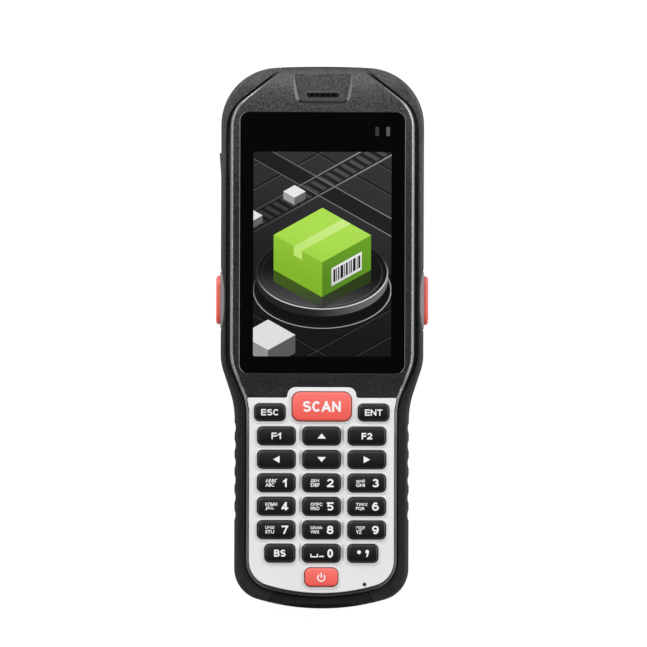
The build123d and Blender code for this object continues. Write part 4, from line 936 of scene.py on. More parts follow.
@dataclass
class Shell:
    """Housings, bumper, plate and what shows in their openings."""

    dresser: Dresser
    # Its rim line is a painted highlight; it has painted shade towards the grip and on faces that lean to
    # the scanner end.
    front: Moulded = Moulded(
        "housing_plastic", (0.05, 0.051, 0.0525), 0.4, 0.62, 0.07, 2.8,
        polish=0.18, grip_shaded_share=0.36, shade_fade=(44.0, 88.0), painted_rim_highlight=5.0, highlight_metallic=0.4, painted_end_shade=0.9,
    )
    rear: Moulded = Moulded("rear_plastic", (0.034, 0.0345, 0.036), 0.42, 0.8, 0.07, 2.4, polish=0.1)
    # The bumper has painted shade towards the grip, and edges lightened partly as a painted highlight.
    bumper: Moulded = Moulded(
        "bumper_rubber", (0.052, 0.051, 0.0505), 0.52, 0.8, 0.06, 2.0,
        wear_and_edge_highlight=1.6, specular=0.45, grip_shaded_share=0.22, shade_fade=(-35.0, 70.0), capped=0.6,
    )
    bezel: SatinPaint = SatinPaint("bezel_silver", (0.26, 0.235, 0.245), 0.45, 0.08, 0.2)
    seam: Moulded = Moulded("seam_shade", (0.003, 0.003, 0.003), 0.7, 0.4, 0.004, 0.2, specular=0.1)
    seal: Moulded = Moulded("seal_rubber", (0.018, 0.018, 0.018), 0.6, 0.4, 0.004, 0.3)
    latch: Moulded = Moulded("latch_plastic", (0.045, 0.045, 0.046), 0.42, 0.5, 0.02, 0.5)
    seam_width: float = 0.4
    seam_proud: float = 0.03
    hole_radius: float = 0.3
    rim_radius: float = 0.6

    def build(self) -> None:
        """Dresses the outside."""
        dress = self.dresser.dress
        dress(self.front, "front_housing")
        dress(self.rear, "rear_housing", "battery_door")
        dress(self.bumper, "side_bumper", "port_flap")
        dress(self.plate(), "keypad_plate")
        dress(self.bezel, "trigger_bezels")
        dress(self.seal, "housing_gasket")
        self.microphone_rim()
        self.foot_seams()
        dress(self.latch, "battery_latch")

    def microphone_rim(self) -> None:
        """Dark turned rim round the microphone hole in the plate."""
        x, y = middle_of("microphone")
        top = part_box("keypad_plate")[1].z / MM
        hole, rim = disc(x, y, self.hole_radius), disc(x, y, self.rim_radius)
        mesh = ring_mesh(hole, rim, top - 0.1, top + 0.02)
        self.dresser.add("microphone_rim", mesh, self.seal, Slot.HOUSING)

    def foot_seams(self) -> None:
        """Seams between the bumper's sides and its foot cap, as thin dark strips let into its skin."""
        for side, way in (("left", -1), ("right", 1)):
            where, across = (FOOT_SEAM[0] * way, FOOT_SEAM[1]), (way, FOOT_SEAM_LEAN)
            mesh = skin_strip("side_bumper", where, across, self.seam_width, self.seam_proud)
            self.dresser.add(f"{side}_foot_seam", mesh, self.seam, Slot.HOUSING)

    @staticmethod
    def plate() -> DishedPaint:
        """The plate's paint.

        Returns:
            Silver with its hollows between the key columns, darkened with painted shade.
        """
        first, beside, above, last = map(middle_of, ("key_0", "key_point", "key_8", "key_up"))
        return DishedPaint(
            "plate_silver", (0.80, 0.81, 0.815), 0.36, 0.08, flake_size=0.5, flake_detail=2.0, cloud=0.05,
            columns=(first[0], beside[0] - first[0]), rows=(first[1], above[1] - first[1]),
            last_row=last[1],
        )


@dataclass
class Internals:
    """What shows only through openings, and what doesn't show."""

    dresser: Dresser

    def build(self) -> None:
        """Dresses boards, frames, engine, speakers, pins and screws."""
        dress = self.dresser.dress
        dress(Metal("frame_metal", (0.55, 0.56, 0.57), 0.5, tarnish=0.2), "inner_frame")
        dress(Metal("tinned_steel", (0.6, 0.6, 0.6), 0.35), "board_shields", "port_socket")
        dress(Metal("steel_pin", (0.55, 0.55, 0.56), 0.25), "flap_pin", "door_hinge_pin")
        dress(Metal("steel_screw", (0.1, 0.1, 0.105), 0.35), "housing_screws")
        dress(Metal("gold_contact", (0.83, 0.6, 0.26), 0.25), "dock_contacts")
        dress(Metal("steel_mesh", (0.05, 0.05, 0.052), 0.4), "earpiece_grille")
        dress(SatinPaint("circuit_board", (0.02, 0.14, 0.07), 0.35, 0.1), "keypad_board", "main_board")
        dress(GlossPrint("dome_film", (0.7, 0.7, 0.66)), "dome_sheet")
        dress(Moulded("key_silicone", (0.5, 0.5, 0.5), 0.5, 0.5, 0.004, 0.1), "key_mat")
        engine = Moulded("engine_plastic", (0.03, 0.03, 0.03), 0.45, 0.35, 0.01, 0.3)
        dress(engine, "scan_engine", "earpiece_speaker", "loudspeaker", "camera_module", "trigger_switches")
        dress(engine, "microphone", "scan_bracket", "battery_contacts")
        dress(Moulded("battery_case", (0.05, 0.05, 0.055), 0.4, 0.8, 0.004, 0.2), "battery_pack")


# --- Display ---


@dataclass
class Display:
    """Glass, printed border, status lenses with a painted grey glow, and the picture on the panel.

    A track is its distance away and its width, and roller is a roller's length and thickness.
    """

    dresser: Dresser
    view_x: float = 0.0
    view_y: float = 29.7
    width: float = 49.1
    length: float = 72.8
    base: float = 28.705
    layer: float = 0.011
    squash: float = 0.56
    spread: float = 0.866
    floor_reach: float = 70.0
    track: Point2 = (26.0, 7.5)
    cross_track: Point2 = (24.0, 6.5)
    roller: Point2 = (5.6, 1.6)
    roller_pitch: float = 3.1
    table: Point2 = (0.0, -6.5)
    table_radius: float = 23.4
    table_height: float = 2.6
    mirror_depth: float = 4.2
    tape_half: float = 1.7
    tape_drop: float = 3.2
    laid: int = 0

    def build(self) -> None:
        """Dresses the glass parts and lays the picture."""
        dress = self.dresser.dress
        dress(ClearPane("display_glass", (1.0, 1.0, 1.0), 1.5), "cover_glass")
        dress(GlossPrint("printed_border", (0.0048, 0.0056, 0.0052)), "display_mask")
        # The status lenses glow grey, lighter to the right: painted light in place of light falling on grey
        # windows.
        dress(Lit("light_pipe", 58, 92, (1.0, 0.0), 19.6, 23.4, 0.12), "indicator_lenses")
        dress(GlossPrint("display_panel", (0.01, 0.01, 0.011)), "lcd_module")
        self.hall()
        self.turntable()
        self.parcel((0.0, -5.6), 10.0, 12.4)
        self.small_parcels()

    def lay(self, outlines: Iterable[Outline], finish: Lit, name: str = "") -> None:
        """Lays flat shapes on the next layer, without what lies past the picture's edge.

        Args:
            outlines: The shapes, from the picture's centre.
            finish: Their look, after which the piece is named.
            name: The piece's name, where several pieces share the look.
        """
        low_corner = (self.view_x - self.width / 2, self.view_y - self.length / 2)
        high_corner = (self.view_x + self.width / 2, self.view_y + self.length / 2)
        moved = ([(x + self.view_x, y + self.view_y) for x, y in outline] for outline in outlines)
        clipped = (clip(outline, low_corner, high_corner) for outline in moved)
        shapes = [shape for shape in clipped if len(shape) > 2]
        if shapes:
            self.dresser.add(
                name or self.piece_name(finish), slab_mesh(shapes, *self.heights()), finish, Slot.DISPLAY
            )

    def loop(self, centre: Point2, radius: float, line: float, finish: Lit) -> None:
        """Lays an elliptic line on the next layer.

        Args:
            centre: Its middle, from the picture's centre.
            radius: Its radius across.
            line: Half the line's width.
            finish: Its look, after which the piece is named.
        """
        middle, steps = (centre[0] + self.view_x, centre[1] + self.view_y), 48
        reaches = (radius - line, radius + line)
        sides = [sweep(middle, (r, r * self.squash), 0, 360 - 360 / steps, steps - 1) for r in reaches]
        mesh = ring_mesh(*sides, *self.heights())
        self.dresser.add(self.piece_name(finish), mesh, finish, Slot.DISPLAY)

    @staticmethod
    def piece_name(finish: Lit) -> str:
        """Name of the piece that has a look for itself."""
        return finish.name.replace("lit", "picture", 1)

    def heights(self) -> Point2:
        """Takes the next layer.

        Returns:
            Its underside and top in millimetres.
        """
        low = self.base + self.laid * self.layer
        self.laid += 1
        return low, low + self.layer * 0.8

    def iso(self, across: float, away: float, up: float = 0.0) -> Point2:
        """Picture place of a point in the drawn isometric scene."""
        return (across - away) * self.spread, (across + away) * self.spread * self.squash + up

    def band(
        self, away: float, low: float, high: float, width: float, turned: bool = False
    ) -> list[Point2]:
        """Isometric strip of the floor.

        Args:
            away: Its distance away.
            low: Where it starts across.
            high: Where it ends across.
            width: Its width.
            turned: Whether it runs the other way, with across and away swapped.

        Returns:
            Its corners, in order.
        """
        near, far = away - width / 2, away + width / 2
        ends = [(low, near), (high, near), (high, far), (low, far)]
        return [self.iso(b, a) if turned else self.iso(a, b) for a, b in ends]

    def strip(self, away: float, width: float, turned: bool = False) -> list[Point2]:
        """Band over the whole floor."""
        return self.band(away, -self.floor_reach, self.floor_reach, width, turned)

    def box(self, foot: Point2, half: float, tall: float) -> dict[str, list[Point2]]:
        """The seen faces of an isometric box.

        Args:
            foot: Middle of its foot, from the picture's centre.
            half: Half its side.
            tall: Its height.

        Returns:
            The corners of its left, right and top face.
        """

        def face(*corners: tuple[int, int, float]) -> list[Point2]:
            """A face from its corners, given from the middle of the foot."""
            flat = (self.iso(across * half, away * half, up) for across, away, up in corners)
            return [(foot[0] + x, foot[1] + y) for x, y in flat]

        return {
            "left": face((-1, 1, 0), (-1, -1, 0), (-1, -1, tall), (-1, 1, tall)),
            "right": face((-1, -1, 0), (1, -1, 0), (1, -1, tall), (-1, -1, tall)),
            "top": face((-1, -1, tall), (1, -1, tall), (1, 1, tall), (-1, 1, tall)),
        }

    def floor_lines(self, shift: float, width: float, cross_width: float) -> list[list[Point2]]:
        """Lines of the floor's joints, moved by a shift, one way and across."""
        lines = [self.strip(away + shift, width) for away in (-44, -34, 38, 47)]
        return lines + [self.strip(away + shift, cross_width, True) for away in (-46, -36, 36, 45)]

    def hall(self) -> None:
        """Dark floor with panel joints, two roller tracks and their rails."""
        floor = rectangle(0, 0, self.width, self.length)
        self.lay([floor], Lit("lit_floor", 18, 52, (0.35, 0.94), -2, 70, 0.03))
        self.lay(self.floor_lines(0.0, 0.6, 0.6), Lit("lit_joints", 6, 16, end=60, speckle=0.0))
        self.lay(self.floor_lines(-0.5, 0.26, 0.2), Lit("lit_glints", 66, 88, end=60, speckle=0.0))
        (away, wide), (cross_away, cross_wide) = self.track, self.cross_track
        tracks = [self.strip(away, wide), self.strip(cross_away, cross_wide, True)]
        self.lay(tracks, Lit("lit_tracks", 12, 34, (0.5, 0.85), 0, 66, 0.02))
        length, thick = self.roller
        places = (12 + step * self.roller_pitch for step in range(-18, 14))
        rollers = [self.band(away, across - thick / 2, across + thick / 2, length) for across in places]
        self.lay(rollers, Lit("lit_rollers", 26, 78, (0.4, 0.9), 5, 64, 0.02))
        rails = [self.strip(away + side * wide / 2, 0.55) for side in (-1, 1)]
        rails += [self.strip(cross_away + side * cross_wide / 2, 0.4, True) for side in (-1, 1)]
        self.lay(rails, Lit("lit_rails", 64, 150, (0.75, 0.65), 8, 62, 0.02))

    def turntable(self) -> None:
        """Round glossy table with bright edges and a lit rim line in front of it."""
        x, y = self.table
        radius, foot_y = self.table_radius, y - self.table_height
        round_face, shade_radius = (radius, radius * self.squash), radius + 1.6
        shade = sweep((x + 0.6, foot_y - 2.2), (shade_radius, shade_radius * self.squash), 0, 350, 35)
        self.lay([shade], Lit("lit_shade", 9, 13, end=30, speckle=0.0))
        self.loop((x, foot_y - 3.6), radius + 1.1, 0.22, self.front_line("lit_track_line", 176))
        side = sweep((x, foot_y), round_face, 180, 360, 32) + sweep((x, y), round_face, 0, 180, 32)
        self.lay([side], Lit("lit_side", 34, 112, (1.0, 0.25), -4, 26, 0.02))
        top = sweep((x, y), round_face, 0, 352, 44)
        self.lay([top], Lit("lit_table", 78, 15, (0.1, 1.0), 8, 24, 0.02))
        self.loop((x, y), radius - 0.1, 0.28, self.front_line("lit_rim", 232))
        self.loop((x, y), radius - 2.0, 0.12, self.front_line("lit_inner_rim", 108))

    @staticmethod
    def front_line(name: str, level: int) -> Lit:
        """Line that is bright in front and fades towards the back of the table."""
        return Lit(name, level, 40, (-0.15, 1.0), 11, 26, 0.0)

    def parcel(self, foot: Point2, half: float, tall: float) -> None:
        """The green parcel with tape, a bar label and its reflection in the table.

        Args:
            foot: Middle of its foot, from the picture's centre.
            half: Half its side.
            tall: Its height.
        """
        faces = self.box(foot, half, tall)
        for side, tone in (("left", (66, 92, 26)), ("right", (44, 62, 20))):
            first, second = faces[side][:2]
            lower = [(x, y - self.mirror_depth) for x, y in (second, first)]
            self.lay([[first, second, *lower]], Lit(f"lit_mirror_{side}", 58, tone, start=9, end=19))
        greens = {
            "left": ((132, 186, 40), (158, 210, 62)),
            "right": ((84, 136, 30), (108, 166, 38)),
            "top": ((158, 214, 62), (178, 230, 84)),
        }
        for side, tones in greens.items():
            self.lay([faces[side]], Lit(f"lit_parcel_{side}", *tones, (0.3, 1), 14, 42))
        wide, drop = self.tape_half, -self.tape_drop
        over = ((-half, -wide, 0.0), (half, -wide, 0.0), (half, wide, 0.0), (-half, wide, 0.0))
        down = ((-half, -wide, 0.0), (-half, wide, 0.0), (-half, wide, drop), (-half, -wide, drop))
        flat = ([self.iso(*corner) for corner in shape] for shape in (over, down))
        tape = [[(x + foot[0], y + foot[1] + tall) for x, y in shape] for shape in flat]
        self.lay(tape, Lit("lit_tape", (196, 238, 118), (212, 246, 142), start=28, end=44))
        self.label(foot, half)

    def label(self, foot: Point2, half: float) -> None:
        """White label with bars on the parcel's right face.

        Args:
            foot: Middle of the parcel's foot.
            half: Half the parcel's side.
        """

        def patch(start: float, end: float, low: float, high: float) -> list[Point2]:
            """Upright rectangle on the face.

            Args:
                start: Its left end, from the face's middle.
                end: Its right end.
                low: Its foot, from the face's foot.
                high: Its head.

            Returns:
                Its corners, in order.
            """
            corners = ((start, low), (end, low), (end, high), (start, high))
            placed = (self.iso(along, -half, up) for along, up in corners)
            return [(foot[0] + x, foot[1] + y) for x, y in placed]

        self.lay([patch(-6.2, 6.2, 2.0, 8.4)], Lit("lit_label", 214, 244, start=18, end=30))
        bars, along = [], -5.4
        for index, width in enumerate((0.8, 0.35, 0.55, 1.1, 0.35, 0.8, 0.35, 0.55, 1.1, 0.35, 0.8)):
            bars.append(patch(along, along + width, 3.0, 7.5))
            along += width + (0.45 if index % 3 else 0.3)
        self.lay(bars, Lit("lit_bars", 16, 22))

    def small_parcels(self) -> None:
        """Pale parcels on the track and in the front corner."""
        away = self.track[0]
        parcels = {"far": (self.iso(14.5, away), 2.3), "near": (self.iso(-3.2, away), 2.3)}
        parcels["front"] = ((-19.2, -35.2), 5.6)
        for name, (foot, half) in parcels.items():
            faces = self.box(foot, half, half * 1.15)
            for side, level in (("left", 150), ("right", 92), ("top", 226)):
                finish = Lit(f"lit_pale_{side}", level, level + 14, end=60)
                self.lay([faces[side]], finish, f"picture_{name}_{side}")


# --- Keypad ---


@dataclass(frozen=True)
class Mark:
    """One printed word, placed from the middle of its key. Weight is a share of the height."""

    text: str
    x: float
    y: float
    height: float
    width: float
    weight: float = 0.2


class BlockLetters:
    """Heavy upright letters drawn as strokes in a unit square."""

    GAP = 0.12
    WIDTH = 0.88
    WIDTHS = dict(zip("1EFTNCABS", (0.55, 0.82, 0.78, 0.86, 0.94, 0.9, 1.02, 0.92, 0.9)))

    @staticmethod
    def strokes(letter: str) -> list[list[Point2]]:
        """Centre lines of a letter.

        Args:
            letter: A capital or a digit.

        Returns:
            The lines. Those of two points are straight and run on to the letter's edge.
        """
        upright, foot, head = [(0, 0), (0, 1)], [(0, 0), (1, 0)], [(0, 1), (1, 1)]
        upper_bowl = [(0, 1), *sweep((0.6, 0.76), (0.34, 0.24), 90, -90), (0, 0.52)]
        lower_bowl = [(0, 0.52), *sweep((0.64, 0.26), (0.36, 0.26), 90, -90), (0, 0)]
        six = [sweep((0.5, 0.3), (0.5, 0.3), 180, 540, 28), sweep((0.52, 0.42), (0.52, 0.58), 190, 52, 12)]
        drawn = {
            "A": [[(0, 0), (0.5, 1)], [(1, 0), (0.5, 1)], [(0.27, 0.28), (0.73, 0.28)]],
            "B": [upright, upper_bowl, lower_bowl],
            "C": [sweep((0.54, 0.5), (0.54, 0.5), 40, 320, 20)],
            "E": [upright, foot, head, [(0, 0.5), (0.88, 0.5)]],
            "F": [upright, head, [(0, 0.5), (0.84, 0.5)]],
            "N": [upright, [(1, 0), (1, 1)], [(0, 1), (1, 0)]],
            "S": [sweep((0.5, 0.76), (0.46, 0.24), 22, 262) + sweep((0.5, 0.26), (0.5, 0.26), 82, -156)],
            "T": [head, [(0.5, 0), (0.5, 1)]],
            "1": [[(0.86, 0), (0.86, 1)], [(0.1, 0.74), (0.8, 0.96)]],
            "2": [sweep((0.5, 0.7), (0.46, 0.3), 172, -38) + [(0.06, 0.04)], foot],
            "3": [sweep((0.48, 0.76), (0.42, 0.24), 160, -90), sweep((0.48, 0.27), (0.5, 0.27), 90, -162)],
            "4": [[(0.7, 0), (0.7, 1)], [(0.66, 1), (0, 0.24)], [(0, 0.21), (1, 0.21)]],
            "5": [
                [(0.16, 1), (0.92, 1)],
                [(0.17, 0.98), (0.12, 0.68)],
                sweep((0.44, 0.3), (0.54, 0.3), 132, -138),
            ],
            "6": six,
            "7": [head, [(0.96, 1), (0.36, 0)]],
            "8": [
                sweep((0.5, 0.77), (0.43, 0.23), 0, 360, 24),
                sweep((0.5, 0.27), (0.5, 0.27), 0, 360, 24),
            ],
            "9": [[(1 - x, 1 - y) for x, y in line] for line in six],
            "0": [sweep((0.5, 0.5), (0.5, 0.5), 0, 360, 32)],
        }
        return drawn[letter]

    @classmethod
    def word(cls, mark: Mark) -> bpy.types.Mesh:
        """Draws a word.

        Args:
            mark: The word with its place and size.

        Returns:
            Its mesh, of unit thickness.
        """
        shares = [cls.WIDTHS.get(letter, cls.WIDTH) for letter in mark.text]
        unit = mark.width / (sum(shares) + cls.GAP * (len(shares) - 1))
        left, weight = mark.x - mark.width / 2, mark.height * mark.weight
        outlines = []
        for letter, share in zip(mark.text, shares):
            width = unit * share
            low, high = (left, mark.y - mark.height / 2), (left + width, mark.y + mark.height / 2)
            start, span = (low[0] + weight / 2, low[1] + weight / 2), (width - weight, mark.height - weight)
            for line in cls.strokes(letter):
                points = [(start[0] + x * span[0], start[1] + y * span[1]) for x, y in line]
                if len(points) > 2:
                    outlines.append(stroke(points, weight))
                else:
                    outlines.append(clip(stroke(cls.lengthened(points, weight), weight), low, high))
            left += width + unit * cls.GAP
        return print_mesh(outlines)

    @staticmethod
    def lengthened(points: Outline, weight: float) -> list[Point2]:
        """A straight line made longer by its weight at both ends.

        Args:
            points: The line's two ends.
            weight: The line's width.

        Returns:
            The new ends.
        """
        first, last = Vector(points[0]), Vector(points[1])
        extra = (last - first).normalized() * weight
        return [tuple(first - extra), tuple(last + extra)]


@dataclass
class Keypad:
    """Key caps, triggers and the legends on the caps."""

    dresser: Dresser
    # Key colours go from a darker foot to a lighter head: painted shade.
    black: KeyPlastic = KeyPlastic("key_black", (0.0015, 0.002, 0.0025), (0.023, 0.0245, 0.0265))
    red: KeyPlastic = KeyPlastic("signal_red", (0.9, 0.1, 0.075), (0.94, 0.2, 0.17), 0.42, 0.3, 0.15, 0.25)
    ink: Ink = Ink("legend_white", (0.9, 0.9, 0.9))
    lift: float = 0.012
    thickness: float = 0.02
    letter_pitch: float = 1.05

    REDS = ("key_scan", "key_power")
    UPPER = dict(zip("123456789", "АБВГ ДЕЖ ЗИЙ КЛМН ОПРС ТУФХ ЦЧШ ЩЪЫЬ ЭЮЯ".split()))
    LOWER = dict(zip("123456789", "ABC DEF GHI JKL MNO PQR STU VWX YZ".split()))
    WORDS = {
        "escape": Mark("ESC", 0, 0, 2.25, 6.2, 0.185),
        "enter": Mark("ENT", 0, 0, 2.25, 6.2, 0.185),
        "scan": Mark("SCAN", 0, 0, 3.8, 13.5),
        "f1": Mark("F1", 0, 0, 2.3, 3.5),
        "f2": Mark("F2", 0, 0, 2.3, 3.8, 0.22),
        "backspace": Mark("BS", 0, 0, 2.5, 4.1, 0.21),
    }

    def build(self) -> None:
        """Dresses the caps and prints the legends."""
        names = [name for name in frame["nodes"] if name.startswith("key_") and name != "key_mat"]
        self.dresser.dress(self.black, *(name for name in names if name not in self.REDS))
        self.dresser.dress(self.red, *self.REDS, "left_trigger", "right_trigger")
        for name in sorted(names):
            self.print_key(name)

    def print_key(self, name: str) -> None:
        """Prints one key's legend.

        Args:
            name: The key's node and body.
        """
        short = name.removeprefix("key_")
        centre, top = middle_of(name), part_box(name)[1].z / MM
        shape = bmesh.new()
        for mesh in self.legend(short):
            shape.from_mesh(mesh)
        for vertex in shape.verts:
            x, y, z = vertex.co
            height = top + self.lift + (z - 1.0) * self.thickness
            vertex.co = ((x + centre[0]) * MM, (y + centre[1]) * MM, height * MM)
        slot = Slot.RED if name in self.REDS else Slot.KEY
        self.dresser.add(f"legend_{short}", made_mesh(shape), self.ink, slot, name)

    def legend(self, short: str) -> list[bpy.types.Mesh]:
        """Draws what stands on a key.

        Args:
            short: The key's name without its first word.

        Returns:
            Meshes of unit thickness.
        """
        if short in self.UPPER:
            digit = BlockLetters.word(Mark(short, 3.1, 0.0, 2.95, 1.5 if short == "1" else 2.4))
            upper = self.small_word(self.UPPER[short], (-3.85, 0.72), 1.2)
            return [digit, upper, self.small_word(self.LOWER[short], (-3.85, -0.75), 1.25)]
        if short in self.WORDS:
            return [BlockLetters.word(self.WORDS[short])]
        if short == "0":
            return [self.sign(short), BlockLetters.word(Mark("0", 3.15, 0.0, 3.1, 2.0))]
        return [self.sign(short)]

    def small_word(self, text: str, start: Point2, height: float) -> bpy.types.Mesh:
        """Draws small letters.

        Args:
            text: The letters.
            start: Their left end and the middle of their height, from the key's centre.
            height: Their height in millimetres.

        Returns:
            Their mesh, of unit thickness.
        """
        curve = bpy.data.curves.new("word", "FONT")
        curve.body = text
        curve.size = height * 1.4
        curve.offset = 0.045
        curve.extrude = 0.5
        curve.resolution_u = 3
        helper = bpy.data.objects.new("word", curve)
        bpy.context.scene.collection.objects.link(helper)
        bpy.context.view_layer.update()
        mesh = bpy.data.meshes.new_from_object(helper.evaluated_get(bpy.context.evaluated_depsgraph_get()))
        bpy.data.objects.remove(helper)
        xs, ys = [v.co.x for v in mesh.vertices], [v.co.y for v in mesh.vertices]
        across = self.letter_pitch * len(text) / (max(xs) - min(xs))
        up = height / (max(ys) - min(ys))
        for vertex in mesh.vertices:
            vertex.co.x = (vertex.co.x - min(xs)) * across + start[0]
            vertex.co.y = (vertex.co.y - (min(ys) + max(ys)) / 2) * up + start[1]
            vertex.co.z = 1.0 if vertex.co.z > 0 else 0.0
        return mesh

    @staticmethod
    def sign(short: str) -> bpy.types.Mesh:
        """Draws an arrow, or the space, point or power sign.

        Args:
            short: The key's name without its first word.

        Returns:
            The sign's mesh, of unit thickness.
        """
        if short in ("up", "down"):
            way = 1 if short == "up" else -1
            outlines = [[(-1.5, -0.9 * way), (1.5, -0.9 * way), (0.0, 0.9 * way)]]
        elif short in ("left", "right"):
            way = -1 if short == "left" else 1
            outlines = [[(-1.15 * way, -1.25), (-1.15 * way, 1.25), (1.15 * way, 0.0)]]
        elif short == "0":
            outlines = [stroke([(-3.7, -0.2), (-3.7, -1.25), (-1.4, -1.25), (-1.4, -0.2)], 0.42)]
            outlines.append(rectangle(0.05, -1.1, 1.7, 0.45))
        elif short == "point":
            outlines = [disc(-1.35, 0.45, 0.68), disc(1.55, 0.62, 0.66)]
            outlines.append([(2.2, 0.55), (1.75, -1.15), (1.25, -1.3), (1.2, -0.95), (1.6, -0.1)])
        else:
            arc = [math.radians(90 + turn) for turn in range(38, 323, 12)]
            outlines = [stroke([(1.25 * math.cos(a), 1.25 * math.sin(a) - 0.15) for a in arc], 0.46)]
            outlines.append(rectangle(0, 0.72, 0.46, 1.75))
        return print_mesh(outlines)


# --- Scanner end and back ---


@dataclass
class Optics:
    """Scan window, camera window and the face of the camera behind it."""

    dresser: Dresser
    lens_radius: float = 1.8
    ring_radius: float = 2.5
    iris_share: float = 0.45
    lamp_radius: float = 0.75
    lamp_x: float = 3.3
    layer: float = 0.03
    gap: float = 0.1
    thickness: float = 0.09

    def build(self) -> None:
        """Dresses the panes and lays the camera's face on its module."""
        dress, radius = self.dresser.dress, self.lens_radius
        dress(ClearPane("scan_pane", (0.3, 0.02, 0.03), 1.45, 0.55, 0.05), "scan_window")
        dress(ClearPane("camera_pane", (0.8, 0.82, 0.84), 1.5, 1.0, 0.0), "camera_window")
        self.lay(Metal("camera_ring", (0.5, 0.5, 0.51), 0.3), self.ring_radius, 0)
        self.lay(GlossPrint("camera_lens", (0.004, 0.006, 0.012), 0.08), radius, 1)
        iris = GlossPrint("camera_iris", (0.012, 0.014, 0.03), 0.2)
        self.lay(iris, radius * self.iris_share, 2, steps=32)
        # Its colour is lighter towards the head: painted shade, as on the keys.
        lamp = KeyPlastic("camera_lamp", (0.8, 0.74, 0.42), (0.86, 0.82, 0.55), 0.25, 0.1)
        self.lay(lamp, self.lamp_radius, 1, self.lamp_x, 32)

    def lay(self, finish: Finish, radius: float, layer: int, x: float = 0.0, steps: int = 48) -> None:
        """Lays a thin disc behind the camera window.

        Args:
            finish: Its look, after which the disc is named.
            radius: Its radius in millimetres.
            layer: How many layers it lies over the lowest.
            x: Its place across, in millimetres.
            steps: Number of its corners.
        """
        y = middle_of("camera_window")[1]
        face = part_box("camera_window")[1].z / MM - layer * self.layer + self.gap
        mesh = slab_mesh([disc(x, y, radius, steps)], face, face + self.thickness)
        self.dresser.add(finish.name, mesh, finish, Slot.CAMERA)


@dataclass
class DoorMarks:
    """Bare rating label, finger ribs and arrow on the outside of the battery door."""

    dresser: Dresser
    label_y: float = -47.0
    label_width: float = 33.0
    label_length: float = 17.0
    margin: float = 3.0
    bar_widths: tuple[float, ...] = (0.9, 0.4, 0.6, 1.3, 0.4, 0.9, 0.4, 0.6, 1.3, 0.4, 0.9, 0.6, 0.4, 1.1)
    bar_length: float = 5.6
    rib_y: float = -69.5
    rib_pitch: float = 1.9
    rib_size: Point2 = (26.0, 0.9)
    proud: float = 0.35

    def build(self) -> None:
        """Lays the marks on the door's face."""
        label = rectangle(0, self.label_y, self.label_width, self.label_length)
        silver = SatinPaint("label_silver", (0.42, 0.43, 0.44), 0.42, 0.06, 0.3)
        black = Ink("label_black", (0.02, 0.02, 0.02))
        self.lay("door_label", [label], 0.05, silver)
        self.lay("door_label_print", self.bars() + self.rules(), 0.07, black)
        ribs = [capsule(0, self.rib_y + self.rib_pitch * step, *self.rib_size) for step in range(4)]
        arrow = [(-1.6, -25.6), (1.6, -25.6), (0.0, -28.2)]
        self.lay("door_ribs", [*ribs, arrow], self.proud, Shell.rear)

    def bars(self) -> list[list[Point2]]:
        """Code bars in the lower half of the label.

        Returns:
            The bars that lie within the margins.
        """
        end = self.label_width / 2 - self.margin
        along, drawn = -end, []
        for turn in range(2):
            for index, bar in enumerate(self.bar_widths):
                drawn.append(rectangle(along + bar / 2, self.label_y - 3.6, bar, self.bar_length))
                along += bar + (0.45 if (index + turn) % 3 else 0.25)
        return [shape for shape in drawn if shape[1][0] < end]

    def rules(self) -> list[list[Point2]]:
        """Hairlines over the bars, where a maker's data would stand."""
        width, first = self.label_width - 2 * self.margin, self.label_y + 1.6
        return [rectangle(0, first + 2.1 * step, width, 0.16) for step in range(3)]

    def lay(self, name: str, outlines: Iterable[Outline], proud: float, finish: Finish) -> None:
        """Lays flat shapes on the door's outer face.

        Args:
            name: The piece's name.
            outlines: The shapes, in millimetres.
            proud: How far they stand over the face, in millimetres.
            finish: Their look.
        """
        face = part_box("battery_door")[0].z / MM
        mesh = slab_mesh(outlines, face - proud, face + 0.1)
        self.dresser.add(name, mesh, finish, Slot.HOUSING, "battery_door")


# --- Studio ---


@dataclass(frozen=True)
class Lamp:
    """Area lamp aimed at the object."""

    name: str
    where: Point3
    height: float
    length: float
    power: float

    def build(self) -> None:
        """Hangs the lamp."""
        data = bpy.data.lights.new(self.name, "AREA")
        data.shape = "RECTANGLE"
        data.size, data.size_y = self.length, self.height
        data.energy = self.power
        made = bpy.data.objects.new(self.name, data)
        made.location = self.where
        aim = Vector((0, 0, 0.02)) - Vector(self.where)
        made.rotation_euler = aim.to_track_quat("-Z", "Y").to_euler()
        made.visible_camera = False
        bpy.context.scene.collection.objects.link(made)


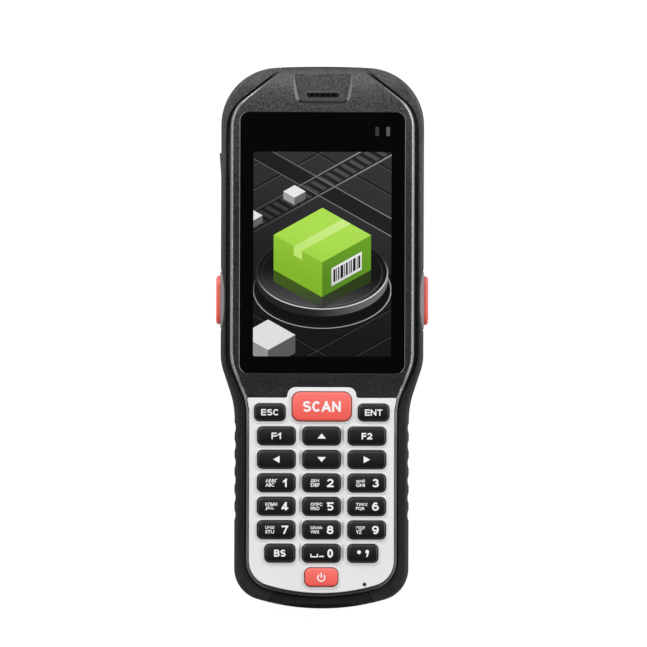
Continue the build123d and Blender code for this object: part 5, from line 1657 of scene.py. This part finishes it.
@dataclass
class Studio:
    """Camera, floor, world and lamps: a soft key, a weaker fill and long strips beside the body."""

    target: Point3 = (0.00051, 0.00502, 0.028)
    distance: float = 3.0
    lens: float = 469.0
    roll: float = 0.0033
    floor_radius: float = 9.0
    floor_drop: float = 0.0002
    floor_glow: float = 1.13
    floor_glow_share: float = 0.82
    daylight: float = 0.42
    zenith: float = 0.06
    key: Lamp = Lamp("key", (-0.55, 1.35, 1.0), 0.8, 0.8, 15.0)
    fill: Lamp = Lamp("fill", (0.8, 0.4, 0.6), 0.5, 0.6, 3.5)
    left_strip: Lamp = Lamp("strip_left", (-0.78, 0.05, 0.62), 0.05, 1.0, 2.0)
    right_strip: Lamp = Lamp("strip_right", (0.78, 0.05, 0.62), 0.05, 1.0, 2.0)

    def build(self) -> None:
        """Makes the whole studio."""
        self.camera()
        self.floor()
        self.world()
        for lamp in (self.key, self.fill, self.left_strip, self.right_strip):
            lamp.build()

    def camera(self) -> None:
        """Long lens straight above the display."""
        data = bpy.data.cameras.new("camera")
        data.lens = self.lens
        data.sensor_width = 36.0
        data.clip_start, data.clip_end = 0.1, 50.0
        made = bpy.data.objects.new("camera", data)
        made.location = Vector(self.target) + Vector((0, 0, self.distance))
        made.rotation_euler.z = self.roll
        bpy.context.scene.collection.objects.link(made)
        bpy.context.scene.camera = made

    def floor(self) -> None:
        """White floor that keeps the shadow."""
        shape = bmesh.new()
        bmesh.ops.create_circle(shape, cap_ends=True, segments=64, radius=self.floor_radius)
        bmesh.ops.translate(shape, vec=(0.0, 0.0, -self.floor_drop), verts=shape.verts)
        surface = Surface("floor_white")
        diffuse = surface.node("ShaderNodeBsdfDiffuse", {}, {"Color": (0.9, 0.9, 0.9)})
        inputs = {"Color": (1.0, 1.0, 1.0), "Strength": self.floor_glow}
        glow = surface.node("ShaderNodeEmission", {}, inputs)
        share = surface.node("ShaderNodeLightPath", output="Is Camera Ray") * self.floor_glow_share
        surface.end_in(surface.node("ShaderNodeMixShader", {}, {0: share, 1: diffuse, 2: glow}))
        add_object("floor", made_mesh(shape), surface.material)

    def world(self) -> None:
        """White for the camera, a dark zenith over a bright horizon for gloss, and plain daylight."""
        world = bpy.data.worlds.new("studio")
        bpy.context.scene.world = world
        world.use_nodes = True
        world.cycles.sampling_method = "NONE"
        g = Graph(world.node_tree)
        outputs = ("Is Camera Ray", "Is Transmission Ray", "Glossy Depth")
        seen, sent, bounced = (g.node("ShaderNodeLightPath", output=name) for name in outputs)
        x, y, z = g.axes(g.place("Generated"))
        horizon = (1.0 - z.between(0.3, 0.95)) * (0.55 + y * 0.15 + x * 0.25)
        gloss = self.zenith + horizon.clamped()
        glossy = bounced.clamped()
        level = self.daylight + (gloss - self.daylight) * glossy
        level = level + (1.0 - level) * (seen + sent).clamped() * (1.0 - glossy)
        back = g.node("ShaderNodeBackground", {}, {"Color": (1.0, 1.0, 1.0), "Strength": level})
        end = world.node_tree.nodes.new("ShaderNodeOutputWorld")
        world.node_tree.links.new(back.socket, end.inputs["Surface"])

    def spare_the_glass(self) -> None:
        """Keeps the mirror images of the two soft boxes out of the display."""
        low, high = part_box("cover_glass")
        glazed = bpy.data.collections.new("glazed")
        for piece in (item for item in bpy.data.objects if item.type == "MESH"):
            corners = [Vector(corner) for corner in piece.bound_box]
            if all(low.x - MM < c.x < high.x + MM and low.y - MM < c.y < high.y + MM for c in corners):
                if max(corner.z for corner in corners) > low.z - 3 * MM:
                    glazed.objects.link(piece)
        for entry in glazed.collection_objects:
            entry.light_linking.link_state = "EXCLUDE"
        for lamp in (self.key, self.fill):
            bpy.data.objects[lamp.name].light_linking.receiver_collection = glazed


# --- Assembly ---


def main() -> None:
    """Builds every sub-assembly in order."""
    logging.basicConfig(level=logging.INFO, format="%(message)s")
    bpy.context.scene.view_settings.view_transform = "Standard"
    studio, dresser = Studio(), Dresser()
    outside = (Shell(dresser), Display(dresser), Keypad(dresser), Optics(dresser), DoorMarks(dresser))
    for part in (studio, *outside, Internals(dresser)):
        part.build()
        LOG.info("built %s", type(part).__name__)
    studio.spare_the_glass()


if __name__ == "__main__":
    main()
